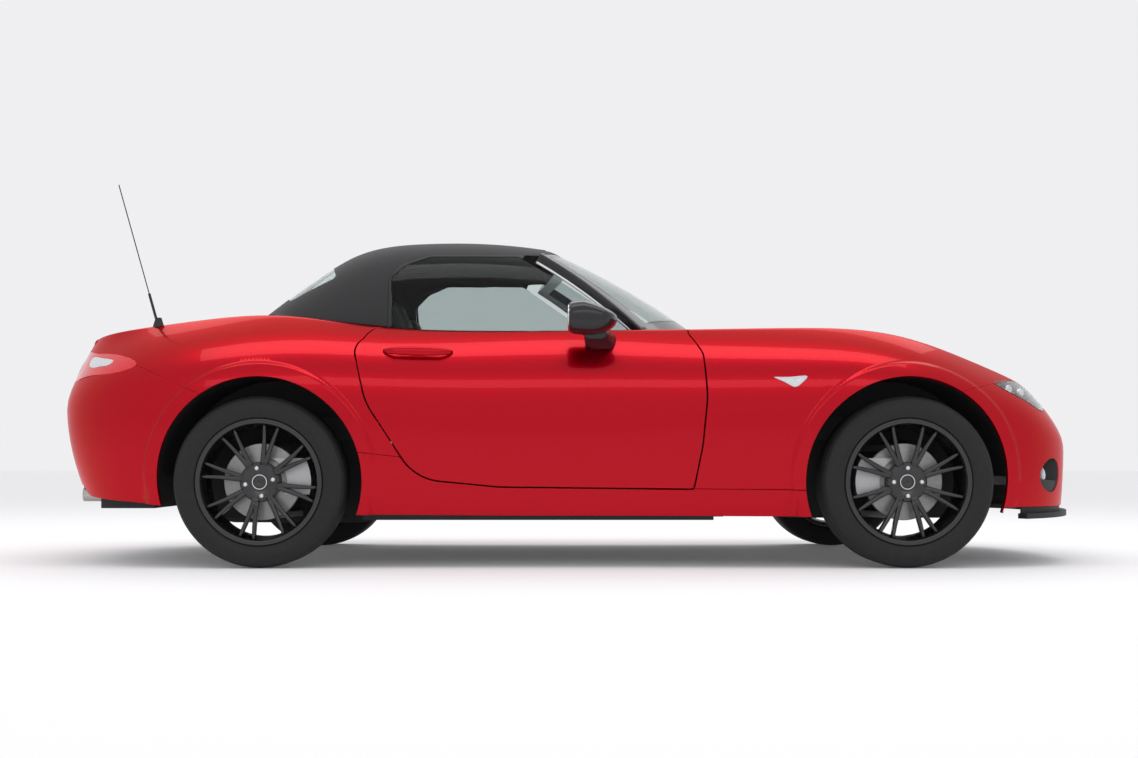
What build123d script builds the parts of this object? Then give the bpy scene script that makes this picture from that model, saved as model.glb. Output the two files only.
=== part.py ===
from build123d import *
import os
import numpy as np

# Two-seat convertible car with its fabric top up.
# Frame: +X forward, +Y to the car's left, +Z up, millimetres, origin on the ground
# under the middle of the length.

# ---- driving dimensions ----
length = 3915.0
half_width = 867.0
wheelbase = 2310.0
front_overhang = 750.0
track_front = 1495.0
track_rear = 1505.0

tyre_radius = 307.0
tyre_width = 205.0
rim_radius = 216.0              # bead seat, 17 inch
rim_flange = 10.0
rim_lip = 8.0
rim_width = 190.0
wheel_offset = 55.0             # mounting face outboard of the rim's middle
lug_circle = 100.0
lug_count = 4
lug_hole = 13.0
spoke_pairs = 8
spoke_spread = 14.5             # degrees between the two spokes of a pair, at the rim
hub_bore = 54.0
disc_radius = 139.0
disc_thickness = 22.0
disc_inboard = 36.0             # disc's outer face inboard of the mounting face
bearing_gap = 0.4

arch_radius = 365.0
arch_rise = 8.0                 # arch centre above the axle
kingpin_inboard = 45.0          # steering axis inboard of the tyre's middle

skin = 4.0                      # sheet of the fixed outer panels
fixed_gap = 0.6                 # between panels that stay together
shut_gap = 5.0                  # round the panels that open
seat_gap = 0.3                  # between a piece and what it is seated on
roll_in = 60.0                  # how far the side panels roll inward over the top
door_thickness = 70.0
door_skin = 8.0
door_step = 15.0                # inner door inside its outer skin's edge
door_ledge = 855.6              # top of the inner door
hinge_back = 45.0               # door hinge behind the door's front edge
hinge_width = 815.0             # door hinge from the middle of the car
hood_thickness = 18.0
lid_thickness = 5.0
floor_height = 165.0
floor_thickness = 16.0
sheet = 14.0                    # floor pan walls, with their linings
tunnel_width = 250.0
tunnel_height = 400.0
cabin_half_width = 640.0
rail_inner = 392.0
rail_outer = 450.0
liner_thickness = 4.0
glass = 5.0
side_glass = 4.0
fabric = 8.0                    # fabric top with its lining
pin_radius = 4.5                # hinge pins of doors, hood and boot lid
pin_gap = 0.3                   # between a pin and its eye
screen_rail = 40.0              # depth of the windscreen frame behind the glass
seat_spacing = 350.0            # seat centre from the middle of the car

front_axle = length / 2 - front_overhang
rear_axle = front_axle - wheelbase
mid = (front_axle + rear_axle) / 2
axle_height = tyre_radius
arch_height = axle_height + arch_rise
firewall_x = mid + 468.0
bulkhead_x = mid - 818.0
boot_front_x = mid - 1330.0
boot_rear_x = mid - 1890.0
side_plate = (590.0, 600.0)     # y of the plates under the windscreen's feet
hood_hinge = (mid + 287.5, 850.0)
hood_eye = (side_plate[1] + .5, side_plate[1] + 8.5)
lid_hinge = (boot_front_x + 62.5, 900.0)
lid_eye = (425.0, 437.0)
lid_arm_drop = 70.0
lid_arm_back = 124.0
door_hinge_x = mid + 438 - hinge_back
door_hinge_heights = (470.0, 630.0)
door_arm_depth = 48.0
W = half_width

# ---- the body's outer form ----
# Round the car at its widest line: x, y, height of the widest line, bottom height,
# inset at the bottom, inset at the crest, power of the curve above the widest line.
GIRDLE = [
    (front_axle + 740, 0,       440, 195, 12, 120, 1.45),
    (front_axle + 728, 230,     440, 195, 12, 120, 1.45),
    (front_axle + 686, 425,     445, 194, 12, 124, 1.45),
    (front_axle + 612, 590,     460, 192, 12, 140, 1.5),
    (front_axle + 490, W - 145, 490, 190, 14, 172, 1.7),
    (front_axle + 325, W - 68,  540, 188, 18, 192, 1.9),
    (front_axle,       W - 3,   620, 184, 30, 215, 2.2),
    (front_axle - 355, W - 14,  625, 182, 36, 192, 2.3),
    (mid + 430,        W - 34,  615, 182, 34, 165, 2.3),
    (mid,              W - 45,  610, 182, 30, 135, 2.3),
    (mid - 400,        W - 37,  610, 182, 30, 140, 2.3),
    (rear_axle + 375,  W - 15,  620, 184, 34, 170, 2.3),
    (rear_axle,        W,       630, 190, 34, 235, 2.2),
    (rear_axle - 345,  W - 28,  625, 222, 36, 250, 2.0),
    (rear_axle - 555,  W - 92,  615, 232, 46, 225, 1.7),
    (rear_axle - 700,  W - 205, 605, 245, 60, 172, 1.4),
    (rear_axle - 795,  475,     600, 255, 72, 116, 1.25),
    (rear_axle - 842,  240,     600, 258, 76, 120, 1.2),
    (rear_axle - 855,  0,       600, 258, 76, 124, 1.2),
]

# Along the top: x, height at the middle, and the two terms of its fall to the sides,
# z = height + a (y / 650)^2 + b (y / 650)^4.
CROWN = [
    (mid - 2000, 815, -20, 0), (mid - 1860, 852, -22, 0), (mid - 1720, 883, -25, 0),
    (mid - 1500, 912, -22, 0), (mid - 1155, 938, -20, 0), (mid - 780, 930, -45, -5),
    (mid - 400, 915, -45, -8), (mid, 900, -35, -3), (mid + 430, 893, -30, 3),
    (mid + 800, 880, -35, 25), (mid + 1155, 838, -40, 46), (mid + 1400, 762, -32, 40),
    (mid + 1550, 712, -20, 20), (mid + 1700, 655, -12, 2), (mid + 1775, 617, -10, 0),
    (mid + 1900, 545, -6, 0),
]

# Bows of the fabric top, front to back: x, y, z at the body; x, y, z of the shoulder's
# corner; x, z at the middle.
BOWS = [
    (mid + 215, 652, 856, mid - 215, 560, 1222, mid - 95, 1217),
    (mid + 20, 655, 856, mid - 330, 562, 1238, mid - 250, 1235),
    (mid - 190, 655, 857, mid - 470, 562, 1246, mid - 440, 1245),
    (mid - 400, 655, 860, mid - 610, 562, 1243, mid - 620, 1243),
    (mid - 580, 655, 864, mid - 730, 562, 1230, mid - 770, 1232),
    (mid - 740, 650, 878, mid - 860, 555, 1190, mid - 900, 1197),
    (mid - 890, 634, 895, mid - 985, 535, 1115, mid - 1030, 1120),
    (mid - 1030, 594, 914, mid - 1110, 480, 1025, mid - 1165, 1030),
    (mid - 1150, 500, 932, mid - 1210, 380, 952, mid - 1290, 946),
]

# ---- outlines seen from the side: x, z, corner radius ----
DOOR = [
    (mid + 378, 990, 0), (mid + 384, 846, 20), (mid + 430, 770, 60), (mid + 441, 610, 300),
    (mid + 425, 440, 300), (mid + 394, 281, 12), (mid - 300, 289, 300), (mid - 600, 318, 180),
    (mid - 775, 590, 260), (mid - 826, 800, 60), (mid - 722, 876, 10), (mid - 722, 990, 0),
]
HEADLAMP = [
    (front_axle + 340, 664), (front_axle + 422, 680), (front_axle + 495, 667),
    (front_axle + 565, 619), (front_axle + 587, 590), (front_axle + 557, 568),
    (front_axle + 498, 585), (front_axle + 422, 622), (front_axle + 352, 656),
]
TAIL_LAMP = [
    (rear_axle - 456, 729), (rear_axle - 560, 773), (rear_axle - 668, 786),
    (rear_axle - 900, 790), (rear_axle - 900, 685), (rear_axle - 718, 684.6),
    (rear_axle - 650, 695), (rear_axle - 527, 702),
]
SIDE_GLASS = [
    (mid - 700, door_ledge + seat_gap, 0), (mid - 710, 1066, 25), (mid - 655, 1116, 60), (mid - 570, 1150, 60),
    (mid - 238, 1150, 25), (mid - 33, 1016, 900), (mid + 205, door_ledge + seat_gap, 0),
]
WINDOW_EDGE = [
    (mid - 716, 780, 0), (mid - 719, 1060, 40), (mid - 682, 1118, 60), (mid - 560, 1161, 60),
    (mid - 205, 1160, 0), (mid + 600, 1160, 0), (mid + 600, 780, 0),
]
tail_split = 486.0              # the boot lid's rear face ends here, the lamps begin
tail_line = 684.0               # bumper below, boot lid and lamps above


def spline(xs, ys, x):
    """Natural cubic spline through (xs, ys), read at x."""
    n = len(xs)
    h = np.diff(xs)
    a = np.zeros((n, n))
    b = np.zeros(n)
    a[0, 0] = a[-1, -1] = 1
    for i in range(1, n - 1):
        a[i, i - 1:i + 2] = h[i - 1], 2 * (h[i - 1] + h[i]), h[i]
        b[i] = 6 * ((ys[i + 1] - ys[i]) / h[i] - (ys[i] - ys[i - 1]) / h[i - 1])
    m = np.linalg.solve(a, b)
    k = np.clip(np.searchsorted(xs, x) - 1, 0, n - 2)
    lo, hi = x - xs[k], xs[k + 1] - x
    curve = (m[k] * hi**3 + m[k + 1] * lo**3) / (6 * h[k])
    return curve + (ys[k] / h[k] - m[k] * h[k] / 6) * hi + (ys[k + 1] / h[k] - m[k + 1] * h[k] / 6) * lo


def closed_girdle():
    """The girdle's rows on the left side, with mirrored rows before and after them."""
    rows = np.array(GIRDLE, float)
    before, after = rows[1:][::-1].copy(), rows[:-1][::-1].copy()
    before[:, 1] *= -1
    after[:, 1] *= -1
    return np.vstack([before, rows, after])


RING = closed_girdle()
RING_S = np.concatenate([[0], np.cumsum(np.hypot(np.diff(RING[:, 0]), np.diff(RING[:, 1])))])
RING_S -= RING_S[len(GIRDLE) - 1]           # s is 0 at the nose, positive on the left
s_tail = RING_S[2 * len(GIRDLE) - 2]
CROWN_ROWS = np.array(CROWN, float)
BOW_ROWS = np.array(BOWS, float)


def girdle(column, s):
    return spline(RING_S, RING[:, column], s)


def top(x, y):
    """Height of the body's top over a point of the plan."""
    centre, a, b = (spline(CROWN_ROWS[:, 0], CROWN_ROWS[:, k], x) for k in (1, 2, 3))
    t = np.abs(y) / 650
    return centre + a * t**2 + b * t**4


def raw_side(s, v):
    """Side form at s round the car; v is 0 at the bottom, 1 at the crest, 2 rolled in."""
    x, y = girdle(0, s), girdle(1, s)
    dx, dy = girdle(0, s + .5) - girdle(0, s - .5), girdle(1, s + .5) - girdle(1, s - .5)
    run = np.hypot(dx, dy)
    nx, ny = dy / run, -dx / run
    widest, bottom, inset_low, inset_top, power = (girdle(k, s) for k in (2, 3, 4, 5, 6))
    crest = top(x - nx * inset_top, y - ny * inset_top)
    z = bottom + (crest - bottom) * (1 - (1 - np.clip(v, 0, 1))**1.6)
    up = np.clip((z - widest) / (crest - widest), 0, 1)
    low = np.clip((widest - z) / (widest - bottom), 0, 1)
    inset = inset_top * up**power + inset_low * low**2 + np.clip(v - 1, 0, None) * roll_in
    px, py = x - nx * inset, y - ny * inset
    return np.stack([px, py, np.where(v > 1, top(px, py), z)], -1)


def side(s, v):
    """The side form with its crest softened."""
    s, v = np.broadcast_arrays(np.asarray(s, float), np.asarray(v, float))
    near = ((-.07, .15), (-.035, .2), (0, .3), (.035, .2), (.07, .15))
    reach = np.clip(v / .5, 0, 1)
    return sum(weight * raw_side(s, v + shift * reach) for shift, weight in near)


def s_at(x):
    """Place round the left side where the girdle has this x."""
    s = np.linspace(0, s_tail, 2000)
    return float(np.interp(-x, -girdle(0, s), s))


def v_at(s, z):
    """v of a height on the side at s."""
    v = np.linspace(0, 1, 400)
    return float(np.interp(z, side(np.full_like(v, s), v)[:, 2], v))


def roof(u, t):
    """Fabric top: u 0 to 1 front to back, t -1 to 1 from right to left."""
    u, t = np.broadcast_arrays(np.asarray(u, float), np.asarray(t, float))
    along = np.linspace(0, 1, len(BOW_ROWS))
    c = [spline(along, BOW_ROWS[:, k], u) for k in range(8)]
    base = np.stack([c[0], c[1], c[2]], -1)
    corner = np.stack([c[3], c[4], c[5]], -1)
    middle = np.stack([c[6], 0 * c[6], c[7]], -1)
    a = (1 - np.abs(t))[..., None]
    side_pull, top_pull = .12 * base + .88 * corner, .2 * middle + .8 * corner
    p = (1 - a)**3 * base + 3 * (1 - a)**2 * a * side_pull + 3 * (1 - a) * a**2 * top_pull + a**3 * middle
    p[..., 1] *= np.sign(t)
    return p


def screen(t, w):
    """Windscreen's outer face: t -1 to 1 across, w 0 at the cowl to 1 at the header."""
    t, w = np.broadcast_arrays(np.asarray(t, float), np.asarray(w, float))
    low = np.stack([mid + 420 - 200 * t**2, 636 * t, 924 - 58 * t**2], -1)
    high = np.stack([mid - 82 - 75 * t**2, 530 * t, 1203 - 43 * t**2], -1)
    bulge = (4 * w * (1 - w))[..., None] * np.array([7, 0, 12])
    return low + (high - low) * w[..., None] + bulge


# ---- solids from point grids ----
def table(a, b, na, nb):
    """Two arrays that run over a and b."""
    return np.meshgrid(np.linspace(*a, na), np.linspace(*b, nb), indexing="ij")


def moved(points, distance):
    """The grid moved along its normals, away from the cabin."""
    normal = np.cross(np.gradient(points, axis=0), np.gradient(points, axis=1))
    if np.sum(normal * (points - np.array([mid, 0, 500]))) < 0:
        normal = -normal
    return points + distance * normal / np.linalg.norm(normal, axis=-1, keepdims=True)


def grid_face(points):
    rows = [[Vector(*(float(c) for c in p)) for p in row] for row in points]
    return Face.make_surface_from_array_of_points(rows, tol=.3, smoothing=(1, 1, 1), max_deg=8)


def border(face, points):
    """The face's four edges, in order round the grid's corners."""
    corners = [Vector(*(float(c) for c in points[i, j])) for i, j in ((0, 0), (0, -1), (-1, -1), (-1, 0))]
    ends = zip(corners, corners[1:] + corners[:1])

    def miss(edge, a, b):
        p, q = edge @ 0, edge @ 1
        return min((p - a).length + (q - b).length, (q - a).length + (p - b).length)

    return [min(face.edges(), key=lambda e: miss(e, a, b)) for a, b in ends]


def slab(points, other):
    """Solid between two grids of points."""
    face, back = grid_face(points), grid_face(other)
    walls = [Face.make_surface_from_curves(p, q)
             for p, q in zip(border(face, points), border(back, other))]
    solid = Solid(Shell(Face.sew_faces([face, back] + walls)[0]))
    return solid if solid.volume > 0 else Solid(solid.wrapped.Reversed())


def side_panel(s, v, n, m, depth=skin, start=0.0):
    """Sheet on the left side over ranges of s and v, from start to start + depth inside."""
    points = side(*table(s, v, n, m))
    return slab(moved(points, -start), moved(points, -start - depth))


def coons(a, b, c, d):
    """Plan grid between curves a and b (along rows) and c and d (along columns)."""
    n, m = len(c), len(a)
    u, w = np.linspace(0, 1, n)[:, None, None], np.linspace(0, 1, m)[None, :, None]
    ruled = (1 - u) * a[None] + u * b[None] + (1 - w) * c[:, None] + w * d[:, None]
    corners = (1 - u) * ((1 - w) * a[0] + w * a[-1]) + u * ((1 - w) * b[0] + w * b[-1])
    return ruled - corners


def lifted(plan):
    """Plan points set on the body's top."""
    return np.stack([plan[..., 0], plan[..., 1], top(plan[..., 0], plan[..., 1])], -1)


def outline(rows, grow=0.0):
    """Side-view face of an outline of x, z and corner radius, grown by a distance."""
    points = [(row[0], row[1]) for row in rows]
    radii = [row[2] if len(row) > 2 else 0 for row in rows]
    with BuildSketch(Plane.XZ) as sketch:
        with BuildLine():
            FilletPolyline(*points, radius=radii, close=True)
        make_face()
        if grow:
            offset(amount=grow, kind=Kind.INTERSECTION)
    return sketch.sketch


def across(rows, grow=0.0):
    """Prism through the whole width of the car on a side-view outline."""
    return extrude(outline(rows, grow), amount=W + 200, both=True)


def block(x, y, z):
    """Box from its low to its high corner on each axis."""
    return Pos(sum(x) / 2, sum(y) / 2, sum(z) / 2) * Box(x[1] - x[0], y[1] - y[0], z[1] - z[0])


def pair(solid):
    """A left piece and its mirror image on the right."""
    return [solid, mirror(solid, about=Plane.XZ)]


def both_sides(shape):
    """A left shape fused with its mirror image."""
    return shape + mirror(shape, about=Plane.XZ)


def arch(x, radius, depth=2 * half_width + 400):
    """Cylinder across the car at a wheel arch."""
    return Pos(x, 0, arch_height) * Cylinder(radius, depth, rotation=(90, 0, 0))


def tube(a, b, radius):
    """Round bar from a to b."""
    a, b = Vector(*a), Vector(*b)
    plane = Plane(origin=a, z_dir=b - a)
    return extrude(plane * Circle(radius), amount=(b - a).length)


def save(name, *solids):
    shapes = [solid for shape in solids for solid in shape.solids()]
    export_step(shapes[0] if len(shapes) == 1 else Compound(children=shapes), f"parts/{name}.step")


# ---- volumes that trim what lies under the skin ----
def under_side(x_front, x_rear, clearance, n=11, inner=300.0):
    """Left side's room from the middle out to the inside of the skin."""
    points = side(*table((s_at(x_front), s_at(x_rear)), (0, 1), n, 9))
    near = moved(points, -skin - clearance)
    far = near.copy()
    far[..., 1] = inner
    return slab(near, far)


def under_top(x_rear, x_front, half, clearance):
    """What lies below the body's top, with a clearance over it."""
    x, y = table((x_rear, x_front), (-half, half), 15, 9)
    face = np.stack([x, y, top(x, y) + clearance], -1)
    low = face.copy()
    low[..., 2] = 600
    return slab(face, low)


# ---- body panels ----
v_edge = 1.95                   # the rolled edge beside hood and boot lid
v_hood = v_edge + (shut_gap + 1.5) / roll_in
v_lid = v_edge + (shut_gap + 4) / roll_in

seam_low, seam_high = 396.0, 413.0      # sill to rear quarter, at the door and at the arch
FENDER = [
    (mid + 381, 990), (mid + 381, 282 + fixed_gap), (front_axle, 277 + fixed_gap),
    (front_axle + 150, 610), (front_axle + 198, 629), (front_axle + 340, 664),
    (front_axle + 422, 680), (front_axle + 560, 700), (front_axle + 560, 990),
]
FRONT_BUMPER = [
    (front_axle + 800, 100), (front_axle, 100), (front_axle, 600), (front_axle + 150, 610 - fixed_gap),
    (front_axle + 198, 629 - fixed_gap), (front_axle + 340, 664 - fixed_gap), (front_axle + 422, 680 - fixed_gap),
    (front_axle + 560 + fixed_gap, 700 - fixed_gap), (front_axle + 560 + fixed_gap, 990), (front_axle + 800, 990),
]
QUARTER = [
    (mid - 590, 990), (mid - 590, seam_low + fixed_gap), (rear_axle + 351, seam_high + fixed_gap),
    (rear_axle, seam_high + fixed_gap),
    (rear_axle - 150, 580), (rear_axle - 196, 613), (rear_axle - 262, 643), (rear_axle - 456, 729),
    (rear_axle - 668, 786), (rear_axle - 900, 790), (rear_axle - 900, 990),
]
REAR_BUMPER = [
    (rear_axle - 100, 100), (rear_axle - 100, 560), (rear_axle - 150, 580 - fixed_gap),
    (rear_axle - 196, 613 - fixed_gap), (rear_axle - 262, 643 - fixed_gap), (rear_axle - 456, 729 - fixed_gap),
    (rear_axle - 527, 702 - fixed_gap), (rear_axle - 650, 695 - fixed_gap), (rear_axle - 718, tail_line - fixed_gap),
    (rear_axle - 900, tail_line - fixed_gap), (rear_axle - 900, 100),
]
SILL = [
    (front_axle + 50, 100), (front_axle + 50, 277), (mid + 381, 282), (mid + 300, 340),
    (mid - 590, seam_low), (rear_axle + 351, seam_high), (rear_axle, seam_high), (rear_axle, 100),
]


def front_fenders():
    panel = side_panel((s_at(front_axle + 640), s_at(mid + 300)), (.05, v_edge), 19, 13)
    panel = (panel & across(FENDER)) - across(DOOR, shut_gap / 2) - arch(front_axle, arch_radius)
    return pair(panel - across(HEADLAMP, fixed_gap))


def rear_quarters():
    panel = side_panel((s_at(mid - 560), s_tail - tail_split), (.05, v_edge), 23, 13)
    panel = (panel & across(QUARTER)) - across(DOOR, shut_gap / 2) - arch(rear_axle, arch_radius)
    return pair(panel - across(TAIL_LAMP, fixed_gap))


def sills():
    panel = side_panel((s_at(front_axle - 250), s_at(rear_axle + 200)), (0, .45), 15, 6)
    panel = (panel & across(SILL)) - across(DOOR, shut_gap / 2)
    return pair(panel - arch(front_axle, arch_radius) - arch(rear_axle, arch_radius))


mouth_half_width = 430.0
mouth_low, mouth_high = 285.0, 455.0
pocket_y, pocket_z, pocket_radius = 640.0, 330.0, 62.0


def mouth(grow, x0, x1):
    """Rounded mouth of the nose, as a prism along x."""
    height = mouth_high - mouth_low + 2 * grow
    shape = Plane.YZ * Pos(0, (mouth_high + mouth_low) / 2) * RectangleRounded(
        2 * mouth_half_width + 2 * grow, height, height / 2 - 1)
    return Pos(x0, 0, 0) * extrude(shape, amount=x1 - x0)


def front_bumper():
    panel = side_panel((-s_at(front_axle + 110), s_at(front_axle + 110)), (.03, v_edge), 33, 13)
    panel = (panel & across(FRONT_BUMPER)) - arch(front_axle, arch_radius)
    panel -= mouth(0, front_axle + 300, length)
    points = side(*table((-s_at(front_axle + 640), s_at(front_axle + 640)), (.2, 1.3), 17, 9))
    behind = points.copy()
    behind[..., 0] = front_axle + 632
    duct = (mouth(4, front_axle + 634, length) - mouth(0, front_axle + 600, length + 100)) & slab(moved(points, -1), behind)
    panel += duct
    lamp = across(HEADLAMP, fixed_gap)
    for hand in (-1, 1):
        panel -= lamp & Pos(front_axle, hand * (430 + W / 2), 600) * Box(2000, W, 600)
        panel -= tube((front_axle + 300, hand * pocket_y, pocket_z), (length, hand * pocket_y, pocket_z), pocket_radius)
    return panel


exhaust_tips = ((-455.0, 257.0), (-525.0, 257.0))
tip_radius = 26.0
tip_reach = 712.0               # end of the tips behind the rear axle


def rear_bumper():
    s0 = s_at(rear_axle - 110)
    v_top = v_at(s_at(rear_axle - 456), 729) + .06
    panel = side_panel((s0, 2 * s_tail - s0), (.03, v_top), 35, 9)
    panel = (panel & across(REAR_BUMPER)) - arch(rear_axle, arch_radius)
    for y, z in exhaust_tips:
        panel -= tube((rear_axle - 900, y, z), (rear_axle - 500, y, z), tip_radius + 10)
    return panel


def headlamps():
    unit = side_panel((s_at(front_axle + 660), s_at(front_axle + 300)), (.4, .93), 13, 9, depth=40)
    return pair(unit & across(HEADLAMP))


def tail_lamps():
    unit = side_panel((s_at(rear_axle - 420), s_tail - tail_split), (.4, 1.0), 13, 9, depth=40)
    return pair(unit & across(TAIL_LAMP, -fixed_gap / 2))


def eye(x, y0, y1, z, radius):
    """Hinge eye across the car."""
    return tube((x, y0, z), (x, y1, z), radius)


def hood_rear(y):
    """x of the hood's rear edge."""
    return mid + 502 - 205 * (y / 640)**2


def hood():
    s_corner = s_at(front_axle + 430)
    s = np.linspace(s_at(front_axle - 400), s_at(mid + 330), 600)
    edge = side(s, v_hood)
    s_end = float(s[np.argmin(np.abs(edge[:, 0] - hood_rear(edge[:, 1])))])
    nose = side(np.linspace(-s_corner, s_corner, 17), v_hood)[:, :2]
    left = side(np.linspace(s_corner, s_end, 17), v_hood)[:, :2]
    right = left * np.array([1, -1])
    y = np.linspace(right[-1, 1], left[-1, 1], 17)
    rear = np.stack([hood_rear(y), y], -1)
    points = lifted(coons(nose, rear, right, left))
    x, z = hood_hinge
    arm = block((x, x + 80), hood_eye, (z - 7, z + 5)) + eye(x, *hood_eye, z, pin_radius + 4)
    arm -= eye(x, 0, W, z, pin_radius + pin_gap)
    return slab(points, moved(points, -hood_thickness)) + both_sides(arm)


def boot_lid():
    s_side = s_tail - tail_split + 2 * shut_gap
    x_front = boot_front_x - shut_gap
    s = np.linspace(s_at(x_front + 150), s_at(x_front - 250), 600)
    edge = side(s, v_lid)
    s_front = float(s[np.argmin(np.abs(edge[:, 0] - x_front))])
    left = side(np.linspace(s_front, s_side, 13), v_lid)[:, :2]
    right = left * np.array([1, -1])
    y = np.linspace(left[0, 1], right[0, 1], 13)
    front = np.stack([np.full_like(y, x_front), y], -1)
    across_s = np.linspace(s_side, 2 * s_tail - s_side, 13)
    crest = side(across_s, v_lid)[:, :2]
    deck = lifted(coons(front, crest, left, right))
    v_low = np.array([v_at(a, tail_line + shut_gap) for a in across_s])
    drop = np.linspace(0, 1, 11)[1:, None]
    face = side(across_s[None, :], v_lid + (v_low[None, :] - v_lid) * drop)
    points = np.concatenate([deck, face])
    x, z = lid_hinge
    y, low, back = lid_eye, z - lid_arm_drop, x - lid_arm_back
    arm = block((x - 6, x + 6), y, (low - 6, z)) + block((back - 6, x + 6), y, (low - 6, low + 6))
    arm += block((back - 6, back + 6), y, (low - 6, float(top(np.array([back]), np.array([y[1]]))[0]) - 4))
    arm += eye(x, *y, z, pin_radius + 3)
    arm -= eye(x, 0, W, z, pin_radius + pin_gap)
    return slab(points, moved(points, -lid_thickness)) + both_sides(arm)


def top_panel(x_rear, x_front, half_rear, half_front, depth, drop=0.0, n=9, m=9):
    """Panel of the body's top between two cross edges, its front edge lower by the drop."""
    t = np.linspace(-1, 1, m)
    u = np.linspace(0, 1, n)[:, None]
    y = t[None] * (half_rear + (half_front - half_rear) * u)
    x = x_rear(y) + (x_front(y) - x_rear(y)) * u
    points = np.stack([x, y, top(x, y) - drop * u], -1)
    under = points.copy()
    under[..., 2] -= depth
    return slab(points, under)


def cowl():
    """Panel under the windscreen, lower at the front so that the hood's edge swings over it."""
    half = side_plate[0] - seat_gap
    panel = top_panel(lambda y: mid + 380 - 200 * (y / 636)**2, lambda y: hood_rear(y) + 20, half, half, 20.0,
                      drop=28.0)
    apron = block((firewall_x + 2, firewall_x + sheet - 2), (-120, 120), (firewall_height + seat_gap, 860))
    return panel + apron


def rear_deck():
    return top_panel(lambda y: boot_front_x + 3 + 0 * y, lambda y: bulkhead_x - 20 + 0 * y, 524.0, 600.0, 12.0)


# ---- doors ----
def door_left():
    s = (s_at(mid + 470), s_at(mid - 850))
    outer = side_panel(s, (.1, 1.42), 17, 13, depth=door_skin) & across(DOOR, -shut_gap / 2)
    points = moved(side(*table(s, (.1, 1), 17, 11)), -door_skin / 2)
    inward = points - np.array([0, door_thickness - door_skin / 2, 0])
    inner = slab(points, inward) & across(DOOR, -shut_gap / 2 - door_step)
    inner -= block((mid - 1200, mid + 800), (0, W), (door_ledge, 1000))
    inner += block((mid - 690, mid + 195), (642, 662), (door_ledge - 25, door_ledge))
    inner -= block((mid + 220, mid + 800), (0, hood_eye[1] + 30), (hood_hinge[1] - 30, 1000))
    inner -= [block((door_hinge_x - 16, mid + 800), (0, W), (z - 30, z + 30)) for z in door_hinge_heights]
    eyes = [Pos(door_hinge_x, hinge_width, z + 11) * Cylinder(pin_radius + 4, 30) for z in door_hinge_heights]
    return outer + [inner] + eyes - Pos(door_hinge_x, hinge_width, 0) * Cylinder(pin_radius + pin_gap, 3000)


def door_hinge_arms():
    """Left door's pins, each on an arm that reaches them from inside the door's front edge."""
    x, y = door_hinge_x, hinge_width
    inside = y - door_arm_depth
    arms = []
    for z in door_hinge_heights:
        arms.append(Pos(x, y, z + 1) * Cylinder(pin_radius, 46))
        arms.append(block((x - pin_radius, x + pin_radius), (inside - 4, y), (z - 22, z - 4.4)))
        arms.append(block((x - pin_radius, firewall_x), (inside - 4, inside + 4), (z - 22, z - 4.4)))
    return arms


def door_glass_left():
    points = roof(*table((.02, .72), (.45, 1), 13, 9))
    under = points - np.array([0, side_glass, 0])
    return slab(points, under) & across(SIDE_GLASS)


mirror_x, mirror_y, mirror_z = mid + 30.0, 850.0, 890.0


def mirror_left():
    rings = ((-88, 38, 34), (-60, 68, 54), (0, 78, 62), (58, 66, 52), (92, 34, 28))
    head = loft([Plane(origin=(mirror_x, mirror_y + y, mirror_z), x_dir=(1, 0, 0), z_dir=(0, 1, 0)) * Ellipse(a, b)
                 for y, a, b in rings])
    head -= block((mirror_x - 100, mirror_x - 45), (600, 1000), (800, 1000))
    foot = loft([Plane(origin=(mirror_x + x, y, z), x_dir=(1, 0, 0), z_dir=(0, 1, 0)) * RectangleRounded(w, h, 14)
                 for x, y, z, w, h in ((34, 690, 812, 116, 74), (30, 772, 816, 108, 66), (10, 842, 846, 74, 44))])
    points = side(*table((s_at(mid + 260), s_at(mid - 120)), (.6, 1.06), 9, 9))
    inside = points - np.array([0, 160, 0])
    return head + (foot - slab(moved(points, 2 * seat_gap), inside))


# ---- wheels, each made at the origin with its outer face towards +Y ----
def lathe(rows):
    """Ring turned about the Y axis from rows of y and radius."""
    profile = Plane.XY * make_face(Polyline(*[(r, y) for y, r in rows], close=True))
    return revolve(profile, Axis.Y)


def tyre():
    half, tread = tyre_width / 2, tyre_radius
    bead = rim_radius + .5
    wall = 9.0
    heel = rim_width / 2 - rim_lip - seat_gap
    outer = [(heel, bead), (heel, rim_radius + rim_flange + .5), (half, bead + 42), (half - 8, tread - 20),
             (half - 28, tread - 4), (half - 50, tread)]
    inner = [(half - 40, tread - 13), (half - wall - 5, bead + 44), (heel - 12, bead + 12), (heel - 12, bead)]
    right = [(-y, r) for y, r in outer], [(-y, r) for y, r in inner]
    return lathe(outer + right[0][::-1] + right[1][::-1] + inner)


hub_radius = 72.0
spoke_root, spoke_tip = 17.0, 11.0      # widths
spoke_depth = 26.0
barrel = 9.0
drop_radius = 196.0                     # inside of the rim's well


def spoke(angle_root, angle_tip):
    """One tapered spoke from the hub to the rim."""
    face = wheel_offset
    sections = []
    for radius, angle, width, y0, y1 in (
            (hub_radius - 14, angle_root, spoke_root, face - 6, face + 14),
            (rim_radius - 5, angle_tip, spoke_tip, face + 6, face + 6 + spoke_depth)):
        a = np.radians(angle)
        out = Vector(float(np.sin(a)), 0, float(np.cos(a)))
        plane = Plane(origin=out * radius + Vector(0, (y0 + y1) / 2, 0), x_dir=(0, 1, 0), z_dir=out)
        sections.append(plane * Rectangle(y1 - y0, width))
    return loft(sections, ruled=True)


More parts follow.
